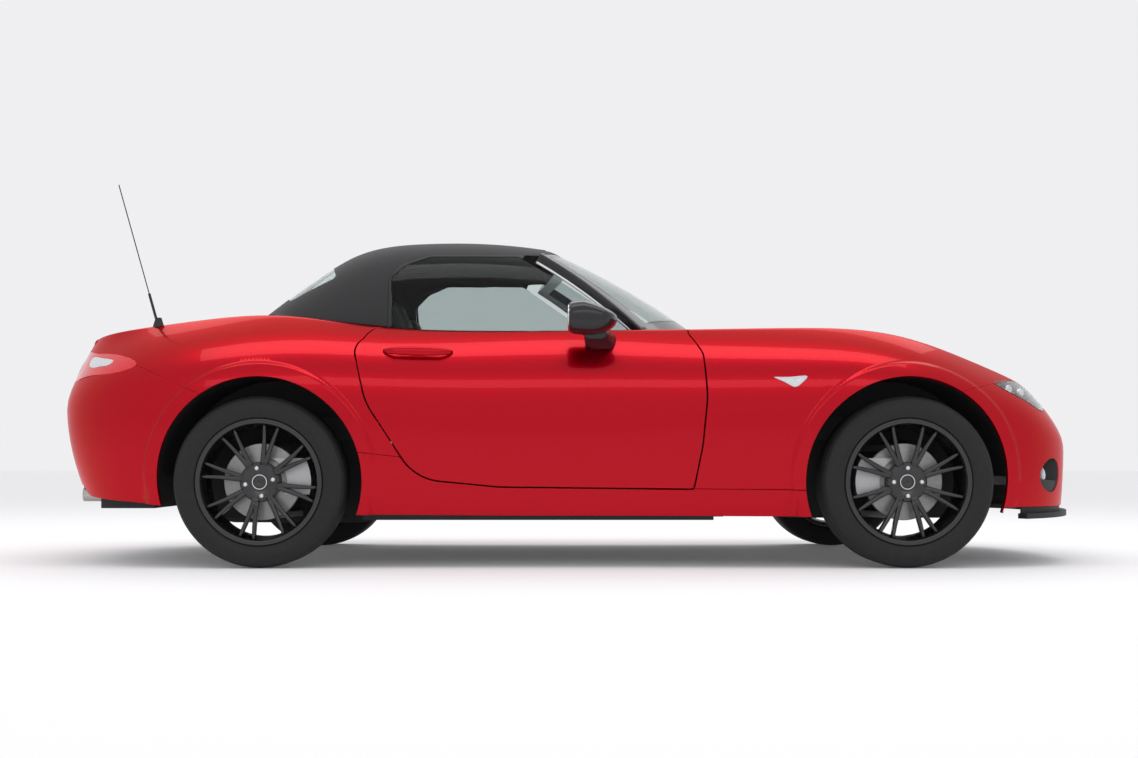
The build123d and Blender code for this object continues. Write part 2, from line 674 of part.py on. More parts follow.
def rim():
    half = rim_width / 2
    ring = lathe([
        (-half, rim_radius + rim_flange), (-half, rim_radius - 6), (-half + 44, drop_radius),
        (half - 60, drop_radius), (half - 34, rim_radius - 12), (half, rim_radius - 6),
        (half, rim_radius + rim_flange), (half - rim_lip, rim_radius + rim_flange), (half - rim_lip, rim_radius),
        (half - 34, rim_radius), (half - 58, drop_radius + barrel), (-half + 46, drop_radius + barrel),
        (-half + 34, rim_radius), (-half + rim_lip, rim_radius), (-half + rim_lip, rim_radius + rim_flange),
    ])
    hub = Pos(0, wheel_offset + 5, 0) * Cylinder(hub_radius, 22, rotation=(90, 0, 0))
    spokes = []
    for k in range(spoke_pairs):
        middle = 360 / spoke_pairs * (k + .5)
        spokes += [spoke(middle + hand * 3, middle + hand * spoke_spread / 2) for hand in (-1, 1)]
    body = ring + ([hub] + spokes)
    holes = [Rot(0, 360 / lug_count * k, 0) * Pos(lug_circle / 2, 0, 0) * Cylinder(lug_hole / 2, 100, rotation=(90, 0, 0))
             for k in range(lug_count)]
    return body - [Pos(0, wheel_offset, 0) * hole for hole in holes] - Pos(0, wheel_offset, 0) * Cylinder(
        hub_bore / 2, 100, rotation=(90, 0, 0))


def brake_disc():
    """Disc with its hat, seated against the back of the wheel's hub."""
    back = wheel_offset - 6 - seat_gap
    outer = back - disc_inboard
    disc = Pos(0, outer - disc_thickness / 2, 0) * Cylinder(disc_radius, disc_thickness, rotation=(90, 0, 0))
    hat = Pos(0, (back + outer - disc_thickness) / 2, 0) * Cylinder(
        hub_radius - 2, back - outer + disc_thickness, rotation=(90, 0, 0))
    hollow = Pos(0, (back - 8 + outer - disc_thickness - 10) / 2, 0) * Cylinder(
        hub_radius - 10, back - 8 - outer + disc_thickness + 10, rotation=(90, 0, 0))
    return disc + hat - hollow - Cylinder(hub_bore / 2, 400, rotation=(90, 0, 0))


def upright(arms_z, caliper_side):
    """Left wheel carrier with its spindle and caliper; origin at the wheel's middle."""
    face = wheel_offset - 6 - seat_gap - disc_inboard      # outer face of the disc
    back = face - disc_thickness
    spindle = Pos(0, (back - 30 + wheel_offset + 14) / 2, 0) * Cylinder(
        hub_bore / 2 - bearing_gap, wheel_offset + 14 - back + 30, rotation=(90, 0, 0))
    post = block((-26, 26), (-kingpin_inboard - 22, -kingpin_inboard + 14), (-arms_z + 14, arms_z - 14))
    boss = Pos(0, (back - 6 - kingpin_inboard - 22) / 2, 0) * Cylinder(
        52, back - 6 + kingpin_inboard + 22, rotation=(90, 0, 0))
    half_ring = (Cylinder(178, 62, rotation=(90, 0, 0)) - Cylinder(92, 70, rotation=(90, 0, 0)))
    wedge = block((min(0, caliper_side * 200), max(0, caliper_side * 200)), (-40, 40), (-45, 85))
    caliper = Pos(0, (face + back) / 2, 0) * (half_ring & wedge)
    caliper -= Pos(0, (face + back) / 2, 0) * Cylinder(disc_radius + 6, disc_thickness + 11, rotation=(90, 0, 0))
    link = block((min(0, caliper_side * 120), max(0, caliper_side * 120)), (back - 26, back - 6), (-30, 30))
    return spindle + post + boss + link + caliper


kingpin_reach = 126.0           # ball joints above and below the axle


def knuckle_front_left():
    part = upright(kingpin_reach, -1)
    arm = block((20, 130), (-kingpin_inboard - 22, -kingpin_inboard - 2), (-60, -40))
    return Pos(front_axle, track_front / 2, axle_height) * (part + arm)


def rear_knuckles():
    return pair(Pos(rear_axle, track_rear / 2, axle_height) * upright(kingpin_reach, 1))


def place(solid, x, track, left):
    wheel = Pos(x, track / 2, axle_height) * solid
    return wheel if left else mirror(wheel, about=Plane.XZ)


# ---- structure ----
boot_half = 380.0
boot_floor = 430.0
boot_sill = 660.0
tunnel_wall = 12.0
rail_low, rail_high = 462.0, 548.0
firewall_height = 800.0


def wheelhouse(x):
    """Room of a pair of wheel arches with their liners."""
    hole = arch(x, arch_radius + 6 + liner_thickness + seat_gap)
    return hole - block((x - 500, x + 500), (-rail_outer, rail_outer), (-100, 900))


def floor_pan():
    """Floor, tunnel, firewall and bulkhead, with the plates that carry the windscreen and the hood's pins."""
    low, high = floor_height, floor_height + floor_thickness
    shell = block((bulkhead_x, firewall_x), (-cabin_half_width, cabin_half_width), (low, high))
    shell += block((bulkhead_x, firewall_x), (-tunnel_width / 2, tunnel_width / 2), (low, tunnel_height))
    shell += block((firewall_x, firewall_x + sheet), (-cabin_half_width, cabin_half_width), (low, firewall_height))
    shell += block((bulkhead_x - sheet, bulkhead_x), (-cabin_half_width, cabin_half_width), (low, 840))
    plate = block((mid + 178, firewall_x + sheet), side_plate, (780, 835))
    plate += block((mid + 178, mid + 283), side_plate, (780, 900)) & under_top(mid + 60, mid + 520, 700, 0)
    post = block((bulkhead_x - sheet - 20, bulkhead_x), (cabin_half_width - 12, 790), (300, 740))
    plate += post & under_side(mid + 560, mid - 900, 3.0)
    x, z = hood_hinge
    plate += block((x - 9, x + 9), side_plate, (780, z + 8)) + eye(x, side_plate[0], hood_eye[1], z, pin_radius)
    shell += both_sides(plate)
    shell -= block((bulkhead_x - 200, firewall_x + 100), (-tunnel_width / 2 + tunnel_wall, tunnel_width / 2 - tunnel_wall),
                   (low - 10, tunnel_height - tunnel_wall))
    return shell - wheelhouse(rear_axle)


def side_frames():
    """Left and right door pillars on their sill members, with the door's pins."""
    inner = cabin_half_width + seat_gap
    posts = block((firewall_x - 16, firewall_x + 32), (inner, 800), (floor_height, 800))
    posts += block((bulkhead_x - sheet, firewall_x + 32), (inner, 800), (floor_height + floor_thickness + 6, 272))
    frame = posts & under_side(mid + 560, mid - 900, 3.0)
    for arm in door_hinge_arms():
        frame += arm
    return pair(frame - wheelhouse(rear_axle))


def rails():
    """Front and rear pairs of rails, each joined by a cross member."""
    clear = sheet + seat_gap
    front = block((firewall_x + clear, front_axle + 470), (rail_inner, rail_outer), (rail_low, rail_high))
    front = both_sides(front) + block((front_axle + 470, front_axle + 520), (-540, 540), (rail_low, rail_high))
    rear = block((boot_rear_x - 20, bulkhead_x - clear), (rail_inner, rail_outer), (rail_low, rail_high))
    rear = both_sides(rear) + block((boot_rear_x - 40, boot_rear_x - seat_gap), (-rail_outer, rail_outer),
                                    (rail_low, rail_high))
    return [front - wheelhouse(front_axle), rear - wheelhouse(rear_axle)]


def boot_tray():
    """Open tub between the rails, with the stays that carry the boot lid's pins."""
    tray = block((boot_rear_x, boot_front_x), (-rail_inner + seat_gap, rail_inner - seat_gap), (boot_floor - 12, 800))
    tray -= block((boot_rear_x + 12, boot_front_x - 12), (-boot_half, boot_half), (boot_floor, 900))
    tray -= block((boot_rear_x - 10, boot_rear_x + 40), (-rail_outer, rail_outer), (boot_sill, 900))
    x, z = lid_hinge
    stay = block((x - 6, x + 6), (lid_eye[0] - 13, lid_eye[0] - 5), (788, z + 6))
    stay += block((boot_front_x - 10, x + 6), (boot_half, lid_eye[0] - 5), (788, 800))
    stay += eye(x, lid_eye[0] - 13, lid_eye[1], z, pin_radius)
    return tray + both_sides(stay)


def liner(x):
    ring = Pos(0, 0, 0) * (arch(x, arch_radius + 6 + liner_thickness) - arch(x, arch_radius + 6))
    ring &= block((x - 500, x + 500), (rail_outer + seat_gap, W), (axle_height + 20, 900))
    return ring & under_side(x + 450, x - 450, 1.2, n=13)


def arch_liners():
    return pair(liner(front_axle)) + pair(liner(rear_axle))


arm_thickness = 22.0


def wishbone(x, track, z, inner):
    """Flat left arm from two inner pivots to the ball joint at the kingpin."""
    tip = (x, track / 2 - kingpin_inboard - 4)
    rows = [(x - 130, inner), (x - 96, inner), (x, tip[1] - 60), (x + 96, inner), (x + 130, inner),
            (x + 24, tip[1] + 16), (x - 24, tip[1] + 16)]
    return extrude(Plane.XY.offset(z - arm_thickness / 2) * make_face(Polyline(*rows, close=True)), amount=arm_thickness)


def subframe(x, track, height):
    arm = kingpin_reach + arm_thickness / 2 - 14 + seat_gap
    frame = block((x - 140, x + 140), (-330, 330), (height, height + 60))
    frame -= block((x - 80, x + 80), (-270, 270), (height - 10, height + 70))
    low_z, high_z = axle_height - arm, axle_height + arm
    left = wishbone(x, track, low_z, 300) + wishbone(x, track, high_z, rail_outer - 100)
    left += block((x - 140, x + 140), (270, 340), (low_z - 12, height + 30))
    left += block((x - 130, x - 96), (320, 410), (height, rail_low - seat_gap))
    left += block((x + 96, x + 130), (320, 410), (height, rail_low - seat_gap))
    return frame + both_sides(left)


def front_subframe():
    x = front_axle
    frame = subframe(x, track_front, 195)
    return frame + tube((x + 112, -300, 262), (x + 112, 300, 262), 24)


def rear_subframe():
    x = rear_axle
    frame = subframe(x, track_rear, 195)
    frame += Pos(x, 0, axle_height) * Cylinder(112, 190, rotation=(90, 0, 0))
    frame += tube((x, 0, axle_height), (x + 190, 0, axle_height - 4), 62)
    frame += tube((x + 180, 0, axle_height - 4), (gearbox_tail - 2, 0, 284), 30)
    inner = track_rear / 2 - kingpin_inboard - 22 - seat_gap
    frame += tube((x, -inner, axle_height), (x, inner, axle_height), 15)
    return frame


gearbox_tail = mid - 80.0


def engine():
    motor = block((mid + 524, front_axle - 110), (-190, 190), (255 + seat_gap, 745))
    gearbox = loft([Plane(origin=(mid + 524, 0, 282), z_dir=(-1, 0, 0)) * Circle(100),
                    Plane(origin=(gearbox_tail, 0, 282), z_dir=(-1, 0, 0)) * Circle(58)])
    return motor + gearbox


def radiator():
    ears = block((front_axle + 410, front_axle + 430), (-rail_inner + seat_gap, rail_inner - seat_gap), (490, 520))
    return block((front_axle + 400, front_axle + 440), (-340, 340), (260, 600)) + ears


def grille():
    """Bars in the mouth, joined by their surround."""
    x = front_axle + 640
    ring = mouth(-seat_gap, x, x + 20) - mouth(-12, x - 5, x + 25)
    bars = block((x, x + 16), (-8, 8), (mouth_low, mouth_high))
    for k in range(-5, 6):
        bars += block((x + 2, x + 14), (k * 78 - 3, k * 78 + 3), (mouth_low, mouth_high))
    for k in range(1, 6):
        z = mouth_low + (mouth_high - mouth_low) * k / 6
        bars += block((x + 2, x + 14), (-mouth_half_width, mouth_half_width), (z - 4, z + 4))
    return ring + (bars & mouth(-6, x - 5, x + 30))


def front_lip():
    """Thin chin under the nose."""
    reach = s_at(front_axle + 440)
    s = np.linspace(-reach, reach, 25)
    x, y = girdle(0, s), girdle(1, s)
    dx, dy = girdle(0, s + .5) - girdle(0, s - .5), girdle(1, s + .5) - girdle(1, s - .5)
    out = np.stack([dy, -dx], -1) / np.hypot(dx, dy)[:, None]
    edge = np.stack([x, y], -1)
    z = girdle(3, s)
    rows = []
    for reach_out in (-14.0, -60.0):
        plan = edge + out * (reach_out + 24)
        rows.append(plan)
    near, far = rows
    upper = np.stack([np.c_[near, z + 3], np.c_[far, z + 3]], 1)
    upper = np.stack([upper[:, 0] * (1 - w) + upper[:, 1] * w for w in np.linspace(0, 1, 4)], 1)
    lower = upper - np.array([0, 0, 19.0])
    tongue = side_panel((-reach, reach), (0, .16), 33, 5, depth=6, start=skin + 3 * seat_gap)
    return slab(upper, lower) + tongue


def windscreen_frame():
    outer = screen(*table((-1, 1), (-.14, 1), 13, 11))
    frame = slab(outer, moved(outer, -screen_rail))
    window = screen(*table((-.915, .915), (.05, .94), 13, 11))
    frame -= slab(moved(window, 12), moved(window, -glass - seat_gap))
    through = screen(*table((-.895, .895), (.07, .92), 13, 11))
    frame -= slab(moved(through, 12), moved(through, -screen_rail - 14))
    return frame - under_top(mid + 60, mid + 520, 700, seat_gap)


def windscreen():
    pane = screen(*table((-.91, .91), (.054, .936), 13, 11))
    return slab(pane, moved(pane, -glass))


def soft_top():
    outer = roof(*table((.0, 1), (-1, 1), 17, 19))
    shell = slab(outer, moved(outer, -fabric))
    shell -= across(WINDOW_EDGE)
    block_out = screen(*table((-1.12, 1.12), (-.2, 1.03), 13, 11))
    shell -= slab(moved(block_out, 60), moved(block_out, -screen_rail - 4))
    shell -= under_top(mid - 1400, mid - 600, 760, seat_gap)
    window = roof(*table((.70, .90), (-.62, .62), 9, 11))
    shell -= slab(moved(window, 60), moved(window, -1.5 - side_glass - seat_gap))
    through = roof(*table((.712, .888), (-.60, .60), 9, 11))
    return shell - slab(moved(through, 60), moved(through, -60))


def rear_window():
    pane = roof(*table((.703, .897), (-.61, .61), 9, 11))
    return slab(moved(pane, -1.5), moved(pane, -1.5 - side_glass))


# ---- cabin ----
def dashboard():
    rows = [(firewall_x - seat_gap, 560), (mid + 330, 520), (mid + 262, 640), (mid + 250, 770),
            (mid + 290, 808), (mid + 400, 792), (firewall_x - seat_gap, 760)]
    body = extrude(Plane.XZ * make_face(Polyline(*rows, close=True)), amount=side_plate[0] - 2, both=True)
    foot, way = wheel_axis()
    column = extrude(Plane(origin=foot - way * (17 + bearing_gap), z_dir=-way) * Circle(26), amount=130)
    return body + column


def console():
    rows = [(mid - 620, tunnel_height + seat_gap), (mid + 240, tunnel_height + seat_gap), (mid + 246, 520),
            (mid + 60, 470), (mid - 260, 450), (mid - 300, 520), (mid - 620, 520)]
    return extrude(Plane.XZ * make_face(Polyline(*rows, close=True)), amount=95, both=True)


def seat_cushion(y):
    rows = [(mid - 560, 240), (mid - 60, 240), (mid - 30, 300), (mid - 50, 352), (mid - 400, 318), (mid - 560, 330)]
    pad = extrude(Plane.XZ * make_face(Polyline(*rows, close=True)), amount=212, both=True)
    rail_low = floor_height + floor_thickness + seat_gap
    base = block((mid - 540, mid - 80), (-190, 190), (rail_low, 241))
    return Pos(0, y, 0) * (pad + base)


def seat_back(y):
    lean = 22.0
    plane = Plane(origin=(mid - 470, y, 335), x_dir=(0, 1, 0), z_dir=(-float(np.sin(np.radians(lean))), 0, float(np.cos(np.radians(lean)))))
    sections = [plane.offset(h) * RectangleRounded(w, d, 30)
                for h, w, d in ((0, 400, 110), (180, 470, 130), (380, 450, 110), (500, 330, 90), (545, 250, 90), (690, 240, 80))]
    return loft(sections, ruled=True)


def seats():
    found = []
    for y in (-seat_spacing, seat_spacing):
        back = seat_back(y)
        found += [seat_cushion(y) - back, back]
    return found


wheel_rake = 18.0
wheel_ring = 178.0


def wheel_axis():
    """Middle of the steering wheel and its axis towards the driver."""
    rake = np.radians(wheel_rake)
    return Vector(mid + 178, seat_spacing, 690), Vector(-float(np.cos(rake)), 0, float(np.sin(rake)))


def steering_wheel():
    middle, way = wheel_axis()
    ring = Torus(wheel_ring, 15)
    hub = Cylinder(52, 34)
    spokes = Box(2 * wheel_ring - 8, 30, 16)
    spokes += Pos(0, -wheel_ring / 2, 0) * Box(36, wheel_ring, 16)
    return Plane(origin=middle, x_dir=(0, 1, 0), z_dir=way) * (ring + hub + spokes)


def exhaust():
    box = block((rear_axle - 640, rear_axle - 440), (-560, 300), (206, 330))
    way = FilletPolyline((rear_axle - 450, -72, 232), (rear_axle - 250, -72, 158), (bulkhead_x - 60, -72, 158),
                         (bulkhead_x + 160, -72, 215), (mid - 120, -72, 215), radius=90)
    pipe = sweep(Plane(origin=way @ 0, z_dir=way % 0) * Circle(24), path=way)
    box += block((rear_axle - 550, rear_axle - 530), (-rail_outer + 10, -rail_inner - 10), (320, rail_low - seat_gap))
    box += block((rear_axle - 550, rear_axle - 530), (200, 218), (320, boot_floor - 12 - seat_gap))
    end = rear_axle - tip_reach
    tips = [tube((end, y, z), (rear_axle - 500, y, z), tip_radius)
            - tube((end - 1, y, z), (rear_axle - 640, y, z), tip_radius - 3) for y, z in exhaust_tips]
    return box + tips[0] + tips[1] + pipe


antenna_x, antenna_y = mid - 1580.0, -563.0
antenna_tip = (mid - 1728.0, -563.0, 1412.0)


def antenna():
    foot_z = float(top(np.array([antenna_x]), np.array([antenna_y]))[0])
    foot = Vector(antenna_x, antenna_y, foot_z - 4)
    way = (Vector(*antenna_tip) - foot).normalized()
    plane = Plane(origin=foot, z_dir=way)
    rod = extrude(plane.offset(30) * Circle(5), amount=100)
    rod += extrude(plane.offset(129) * Circle(2), amount=(Vector(*antenna_tip) - foot).length - 129)
    base = Pos(antenna_x, antenna_y, foot_z + 9) * Cone(24, 11, 44)
    points = side(*table((s_at(mid - 1400), s_at(mid - 1800)), (.7, v_edge + .2), 9, 11))
    points[..., 1] *= -1
    low = points.copy()
    low[..., 2] -= 200
    return base + rod - slab(moved(points, 2 * seat_gap), low)


def main():
    os.makedirs("parts", exist_ok=True)
    save("floor_pan", floor_pan())
    save("underbody", *side_frames(), *rails())
    save("arch_liners", *arch_liners())
    save("front_subframe", front_subframe())
    save("rear_subframe", rear_subframe(), *rear_knuckles())
    save("boot_tray", boot_tray())
    save("engine", engine())
    save("radiator", radiator())
    save("front_bumper", front_bumper())
    save("grille", grille())
    save("front_lip", front_lip())
    save("headlamps", *headlamps())
    save("front_fenders", *front_fenders())
    save("top_panels", cowl(), rear_deck())
    save("sills", *sills())
    save("rear_quarters", *rear_quarters())
    save("rear_bumper", rear_bumper())
    save("tail_lamps", *tail_lamps())
    save("windscreen_frame", windscreen_frame())
    save("windscreen", windscreen())
    save("soft_top", soft_top())
    save("rear_window", rear_window())
    save("dashboard", dashboard(), console())
    save("seats", *seats())
    save("steering_wheel", steering_wheel())
    save("exhaust", exhaust())
    save("antenna", antenna())
    save("hood", hood())
    save("boot_lid", boot_lid())
    for name, shape in (("door", door_left()), ("door_glass", door_glass_left()), ("mirror", mirror_left()),
                        ("knuckle_front", knuckle_front_left())):
        left, right = pair(shape)
        save(f"{name}_left", left)
        save(f"{name}_right", right)
    wheel, ring, disc = rim(), tyre(), brake_disc()
    for end, x, track in (("front", front_axle, track_front), ("rear", rear_axle, track_rear)):
        for hand in ("left", "right"):
            save(f"rim_{end}_{hand}", *(place(piece, x, track, hand == "left") for piece in (wheel, disc)))
            save(f"tyre_{end}_{hand}", place(ring, x, track, hand == "left"))


main()
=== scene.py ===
import math
import bpy
import numpy as np
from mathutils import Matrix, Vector, geometry


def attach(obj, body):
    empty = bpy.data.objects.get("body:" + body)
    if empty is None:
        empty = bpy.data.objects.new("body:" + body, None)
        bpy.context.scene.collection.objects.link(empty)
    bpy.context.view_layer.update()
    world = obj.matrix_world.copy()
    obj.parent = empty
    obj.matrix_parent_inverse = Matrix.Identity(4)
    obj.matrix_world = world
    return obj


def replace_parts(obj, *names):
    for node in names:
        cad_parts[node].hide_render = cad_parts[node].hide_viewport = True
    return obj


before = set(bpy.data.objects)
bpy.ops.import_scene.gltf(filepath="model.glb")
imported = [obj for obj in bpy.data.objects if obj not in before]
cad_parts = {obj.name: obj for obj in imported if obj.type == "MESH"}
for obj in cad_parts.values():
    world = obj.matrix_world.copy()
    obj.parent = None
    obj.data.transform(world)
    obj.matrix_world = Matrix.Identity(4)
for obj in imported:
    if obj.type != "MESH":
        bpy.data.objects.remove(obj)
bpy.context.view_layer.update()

# ---- camera ----
# Level camera beside the car's right side, a little above hub height.
camera_data = bpy.data.cameras.new("camera")
camera_data.sensor_width = 36.0
camera_data.lens = 49.03
camera_data.shift_x = 0.0167
camera_data.shift_y = 0.0728
camera = bpy.data.objects.new("camera", camera_data)
camera.location = (-0.0675, -6.344, 0.379)
camera.rotation_euler = (math.radians(90), 0, 0)
bpy.context.scene.collection.objects.link(camera)
bpy.context.scene.camera = camera


# ---- studio ----
# A pale seamless floor under an even pale sky, lit by wide soft boxes above the car and on both sides.
# The helpers that make every piece's finish and mesh come first; lengths are in millimetres.
mm = 0.001
HANDS = (("right", -1), ("left", 1))      # each side of the car and the sign of its y


class Socket:
    """A shader value; + and * on it add the Math nodes."""

    def __init__(self, finish, link):
        self.finish, self.link = finish, link

    def math(self, operation, *values):
        """The value of a Math node over values and links."""
        return self.finish.node("ShaderNodeMath", {"operation": operation}, *values)

    def __add__(self, other):
        return self.math("ADD", self, other)

    def __mul__(self, other):
        return self.math("MULTIPLY", self, other)

    __radd__, __rmul__ = __add__, __mul__


class Finish:
    """One material: its principled shader and the nodes that feed it."""

    def __init__(self, name, **values):
        self.material = bpy.data.materials.new(name)
        self.material.use_nodes = True
        self.nodes, self.links = self.material.node_tree.nodes, self.material.node_tree.links
        self.shader = self.nodes["Principled BSDF"]
        self.set(**values)

    def set(self, **values):
        """Sets or links the shader's sockets, with _ for a space in their names."""
        for name, value in values.items():
            self.feed(self.shader.inputs[name.replace("_", " ")], value)

    def feed(self, socket, value):
        if isinstance(value, Socket):
            self.links.new(value.link, socket)
        elif socket.type == "RGBA" and len(value) == 3:
            socket.default_value = (*value, 1.0)
        else:
            socket.default_value = value

    def node(self, kind, settings, *values, out=0, **named):
        """A node with its settings first, then its sockets in order or by name."""
        node = self.nodes.new(kind)
        for key, value in settings.items():
            setattr(node, key, value)
        for k, value in enumerate(values):
            self.feed(node.inputs[k], value)
        for name, value in named.items():
            self.feed(node.inputs[name.replace("_", " ")], value)
        return Socket(self, node.outputs[out])

    def noise(self, scale, detail=2.0, stretch=(1, 1, 1), roughness=0.5):
        """Noise of so many cells per metre over the object's coordinates, stretched along the axes."""
        place = self.node("ShaderNodeTexCoord", {}, out=3)
        where = self.node("ShaderNodeMapping", {}, place, Scale=tuple(scale * s for s in stretch))
        return self.node("ShaderNodeTexNoise", {}, Vector=where, Scale=1.0, Detail=detail,
                         Roughness=roughness)

    def mix(self, factor, a, b):
        """Colour between a and b."""
        node = self.nodes.new("ShaderNodeMix")
        node.data_type = "RGBA"
        self.feed(node.inputs[0], factor)
        self.feed(node.inputs[6], a)
        self.feed(node.inputs[7], b)
        return Socket(self, node.outputs[2])

    def bump(self, height, distance, strength=1.0):
        """Normal from a height of 0 to 1 and its depth in metres."""
        return self.node("ShaderNodeBump", {}, Strength=strength, Distance=distance, Height=height)


def speckled(name, scale, rough, spread, colours=None, bump=None, detail=2.0, stretch=(1, 1, 1), grit=0.5,
             **values):
    """Finish whose noise sets its roughness and, where given, mixes two colours and feeds a bump's
    (depth, strength)."""
    finish = Finish(name, **values)
    noise = finish.noise(scale, detail, stretch, grit)
    finish.set(Roughness=rough + spread * noise)
    if colours:
        finish.set(Base_Color=finish.mix(noise, *colours))
    if bump:
        finish.set(Normal=finish.bump(noise, *bump))
    return finish


def make(name, points, faces, finish, body=None, slot=None, normals=None, smooth=True):
    """An object at the origin from millimetre points and faces, with its finish and body; its slot is not
    used.
    """
    mesh = bpy.data.meshes.new(name)
    points = np.asarray(points, float).reshape(-1, 3) * mm
    mesh.from_pydata(points.tolist(), [], [list(map(int, f)) for f in faces])
    mesh.polygons.foreach_set("use_smooth", np.full(len(mesh.polygons), smooth))
    mesh.update()
    if normals is not None:
        mesh.normals_split_custom_set_from_vertices(normals.tolist())
    mesh.materials.append(finish.material)
    piece = bpy.data.objects.new(name, mesh)
    bpy.context.scene.collection.objects.link(piece)
    if body:
        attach(piece, body)
    return piece


def full_turn(n):
    """n even angles round a full turn."""
    return np.linspace(0, 2 * math.pi, n, endpoint=False)


def quads(rows, columns, turned=False, wrap=False):
    """Quads between neighbouring rows and columns of a grid; wrap joins the last column to the first."""
    k = np.arange(rows - 1)[:, None] * columns
    near = np.arange(columns if wrap else columns - 1)[None]
    far = (near + 1) % columns
    cells = np.stack([k + near, k + far, k + columns + far, k + columns + near], -1).reshape(-1, 4)
    return cells[:, ::-1] if turned else cells


floor_reach = np.linspace(-60e3, 60e3, 5)
floor_finish = speckled("studio_paper", 3.0, 0.9, 0.04, Base_Color=(0.86, 0.86, 0.87),
                        Emission_Color=(1.0, 1.0, 1.01), Emission_Strength=0.065)
floor_rows = np.stack(np.broadcast_arrays(floor_reach[:, None], floor_reach[None], 0.0), -1)
make("floor", floor_rows, quads(5, 5, turned=True), floor_finish)

for name, place, target, size, power in (
        ("light_over", (0.0, -1.2, 4.6), (0, 0, 0.4), (6.0, 1.6), 62.0),
        ("light_side", (0.0, -8.0, 3.6), (0, 0, 0.6), (9.0, 1.6), 55.0),
        ("light_back", (0.0, 3.2, 4.6), (0, 0.5, 0.5), (8.0, 2.0), 62.0)):
    lamp_data = bpy.data.lights.new(name, "AREA")
    lamp_data.shape = "RECTANGLE"
    lamp_data.size, lamp_data.size_y = size
    lamp_data.energy = power
    lamp = bpy.data.objects.new(name, lamp_data)
    lamp.location = place
    lamp.rotation_euler = (Vector(target) - Vector(place)).to_track_quat("-Z", "Y").to_euler()
    bpy.context.scene.collection.objects.link(lamp)

world = bpy.data.worlds.new("studio")
world.use_nodes = True
sky = world.node_tree.nodes["Background"]
sky.inputs["Color"].default_value, sky.inputs["Strength"].default_value = (0.93, 0.93, 0.945, 1), 0.93
bpy.context.scene.world = world
bpy.context.scene.view_settings.view_transform = "Standard"


# ---- body form ----
# The outer form that all the steel panels share, in millimetres: a girdle round the car at its
# widest line carries a section that swells outward and rolls in over the top at the crest.
front_axle = 3915.0 / 2 - 750.0   # half the length, less the front overhang
rear_axle = front_axle - 2310.0   # less the wheelbase
mid = (front_axle + rear_axle) / 2
core = np.array([mid, 0, 450])    # a point inside the body, which outward normals point away from
arch_height, arch_radius = 315.0, 365.0
roll_in = 60.0
W = 867.0                         # half the width
GIRDLE = [       # x, y, height of the widest line, bottom height, insets low and high, power
    (front_axle + 740, 0,       440, 195, 12, 120, 1.45),
    (front_axle + 728, 230,     440, 195, 12, 120, 1.45),
    (front_axle + 686, 425,     445, 194, 12, 124, 1.45),
    (front_axle + 612, 590,     460, 192, 12, 140, 1.5),
    (front_axle + 490, W - 145, 490, 190, 14, 172, 1.7),
    (front_axle + 325, W - 68,  540, 188, 18, 192, 1.9),
    (front_axle,       W - 3,   620, 184, 30, 215, 2.2),
    (front_axle - 355, W - 14,  625, 182, 36, 192, 2.3),
    (mid + 430,        W - 34,  615, 182, 34, 165, 2.3),
    (mid,              W - 45,  610, 182, 30, 135, 2.3),
    (mid - 400,        W - 37,  610, 182, 30, 140, 2.3),
    (rear_axle + 375,  W - 15,  620, 184, 34, 170, 2.3),
    (rear_axle,        W,       630, 190, 34, 235, 2.2),
    (rear_axle - 345,  W - 28,  625, 222, 36, 250, 2.0),
    (rear_axle - 555,  W - 92,  615, 232, 46, 225, 1.7),
    (rear_axle - 700,  W - 205, 605, 245, 60, 172, 1.4),
    (rear_axle - 795,  475,     600, 255, 72, 116, 1.25),
    (rear_axle - 842,  240,     600, 258, 76, 120, 1.2),
    (rear_axle - 855,  0,       600, 258, 76, 124, 1.2),
]
CROWN = [        # x, height at the middle, and the two terms of its fall to the sides
    (mid - 2000, 815, -20, 0), (mid - 1860, 852, -22, 0), (mid - 1720, 883, -25, 0),
    (mid - 1500, 912, -22, 0), (mid - 1155, 938, -20, 0), (mid - 780, 930, -45, -5),
    (mid - 400, 915, -45, -8), (mid, 900, -35, -3), (mid + 430, 893, -30, 3),
    (mid + 800, 880, -35, 25), (mid + 1155, 838, -40, 46), (mid + 1400, 762, -32, 40),
    (mid + 1550, 712, -20, 20), (mid + 1700, 655, -12, 2), (mid + 1775, 617, -10, 0),
    (mid + 1900, 545, -6, 0),
]


def natural(xs, columns):
    """Second slopes of natural cubic splines through (xs, each column), from one linear system."""
    h = np.diff(xs)
    a = np.zeros((len(xs), len(xs)))
    a[0, 0] = a[-1, -1] = 1
    inner = np.arange(1, len(xs) - 1)
    a[inner, inner - 1], a[inner, inner], a[inner, inner + 1] = h[:-1], 2 * (h[:-1] + h[1:]), h[1:]
    b = np.zeros(columns.shape)
    b[1:-1] = 6 * np.diff(np.diff(columns, axis=0) / h[:, None], axis=0)
    return np.linalg.solve(a, b)


def along(xs, ys, m, x):
    """Cubic spline through (xs, ys) with second slopes m, read at x."""
    k = np.clip(np.searchsorted(xs, x) - 1, 0, len(xs) - 2)
    h = np.diff(xs)[k]
    lo, hi = x - xs[k], xs[k + 1] - x
    curve = (m[k] * hi**3 + m[k + 1] * lo**3) / (6 * h)
    return curve + (ys[k] / h - m[k] * h / 6) * hi + (ys[k + 1] / h - m[k + 1] * h / 6) * lo


def spline(xs, ys, x):
    """Natural cubic spline through (xs, ys), read at x."""
    return along(xs, ys, natural(xs, ys[:, None])[:, 0], x)


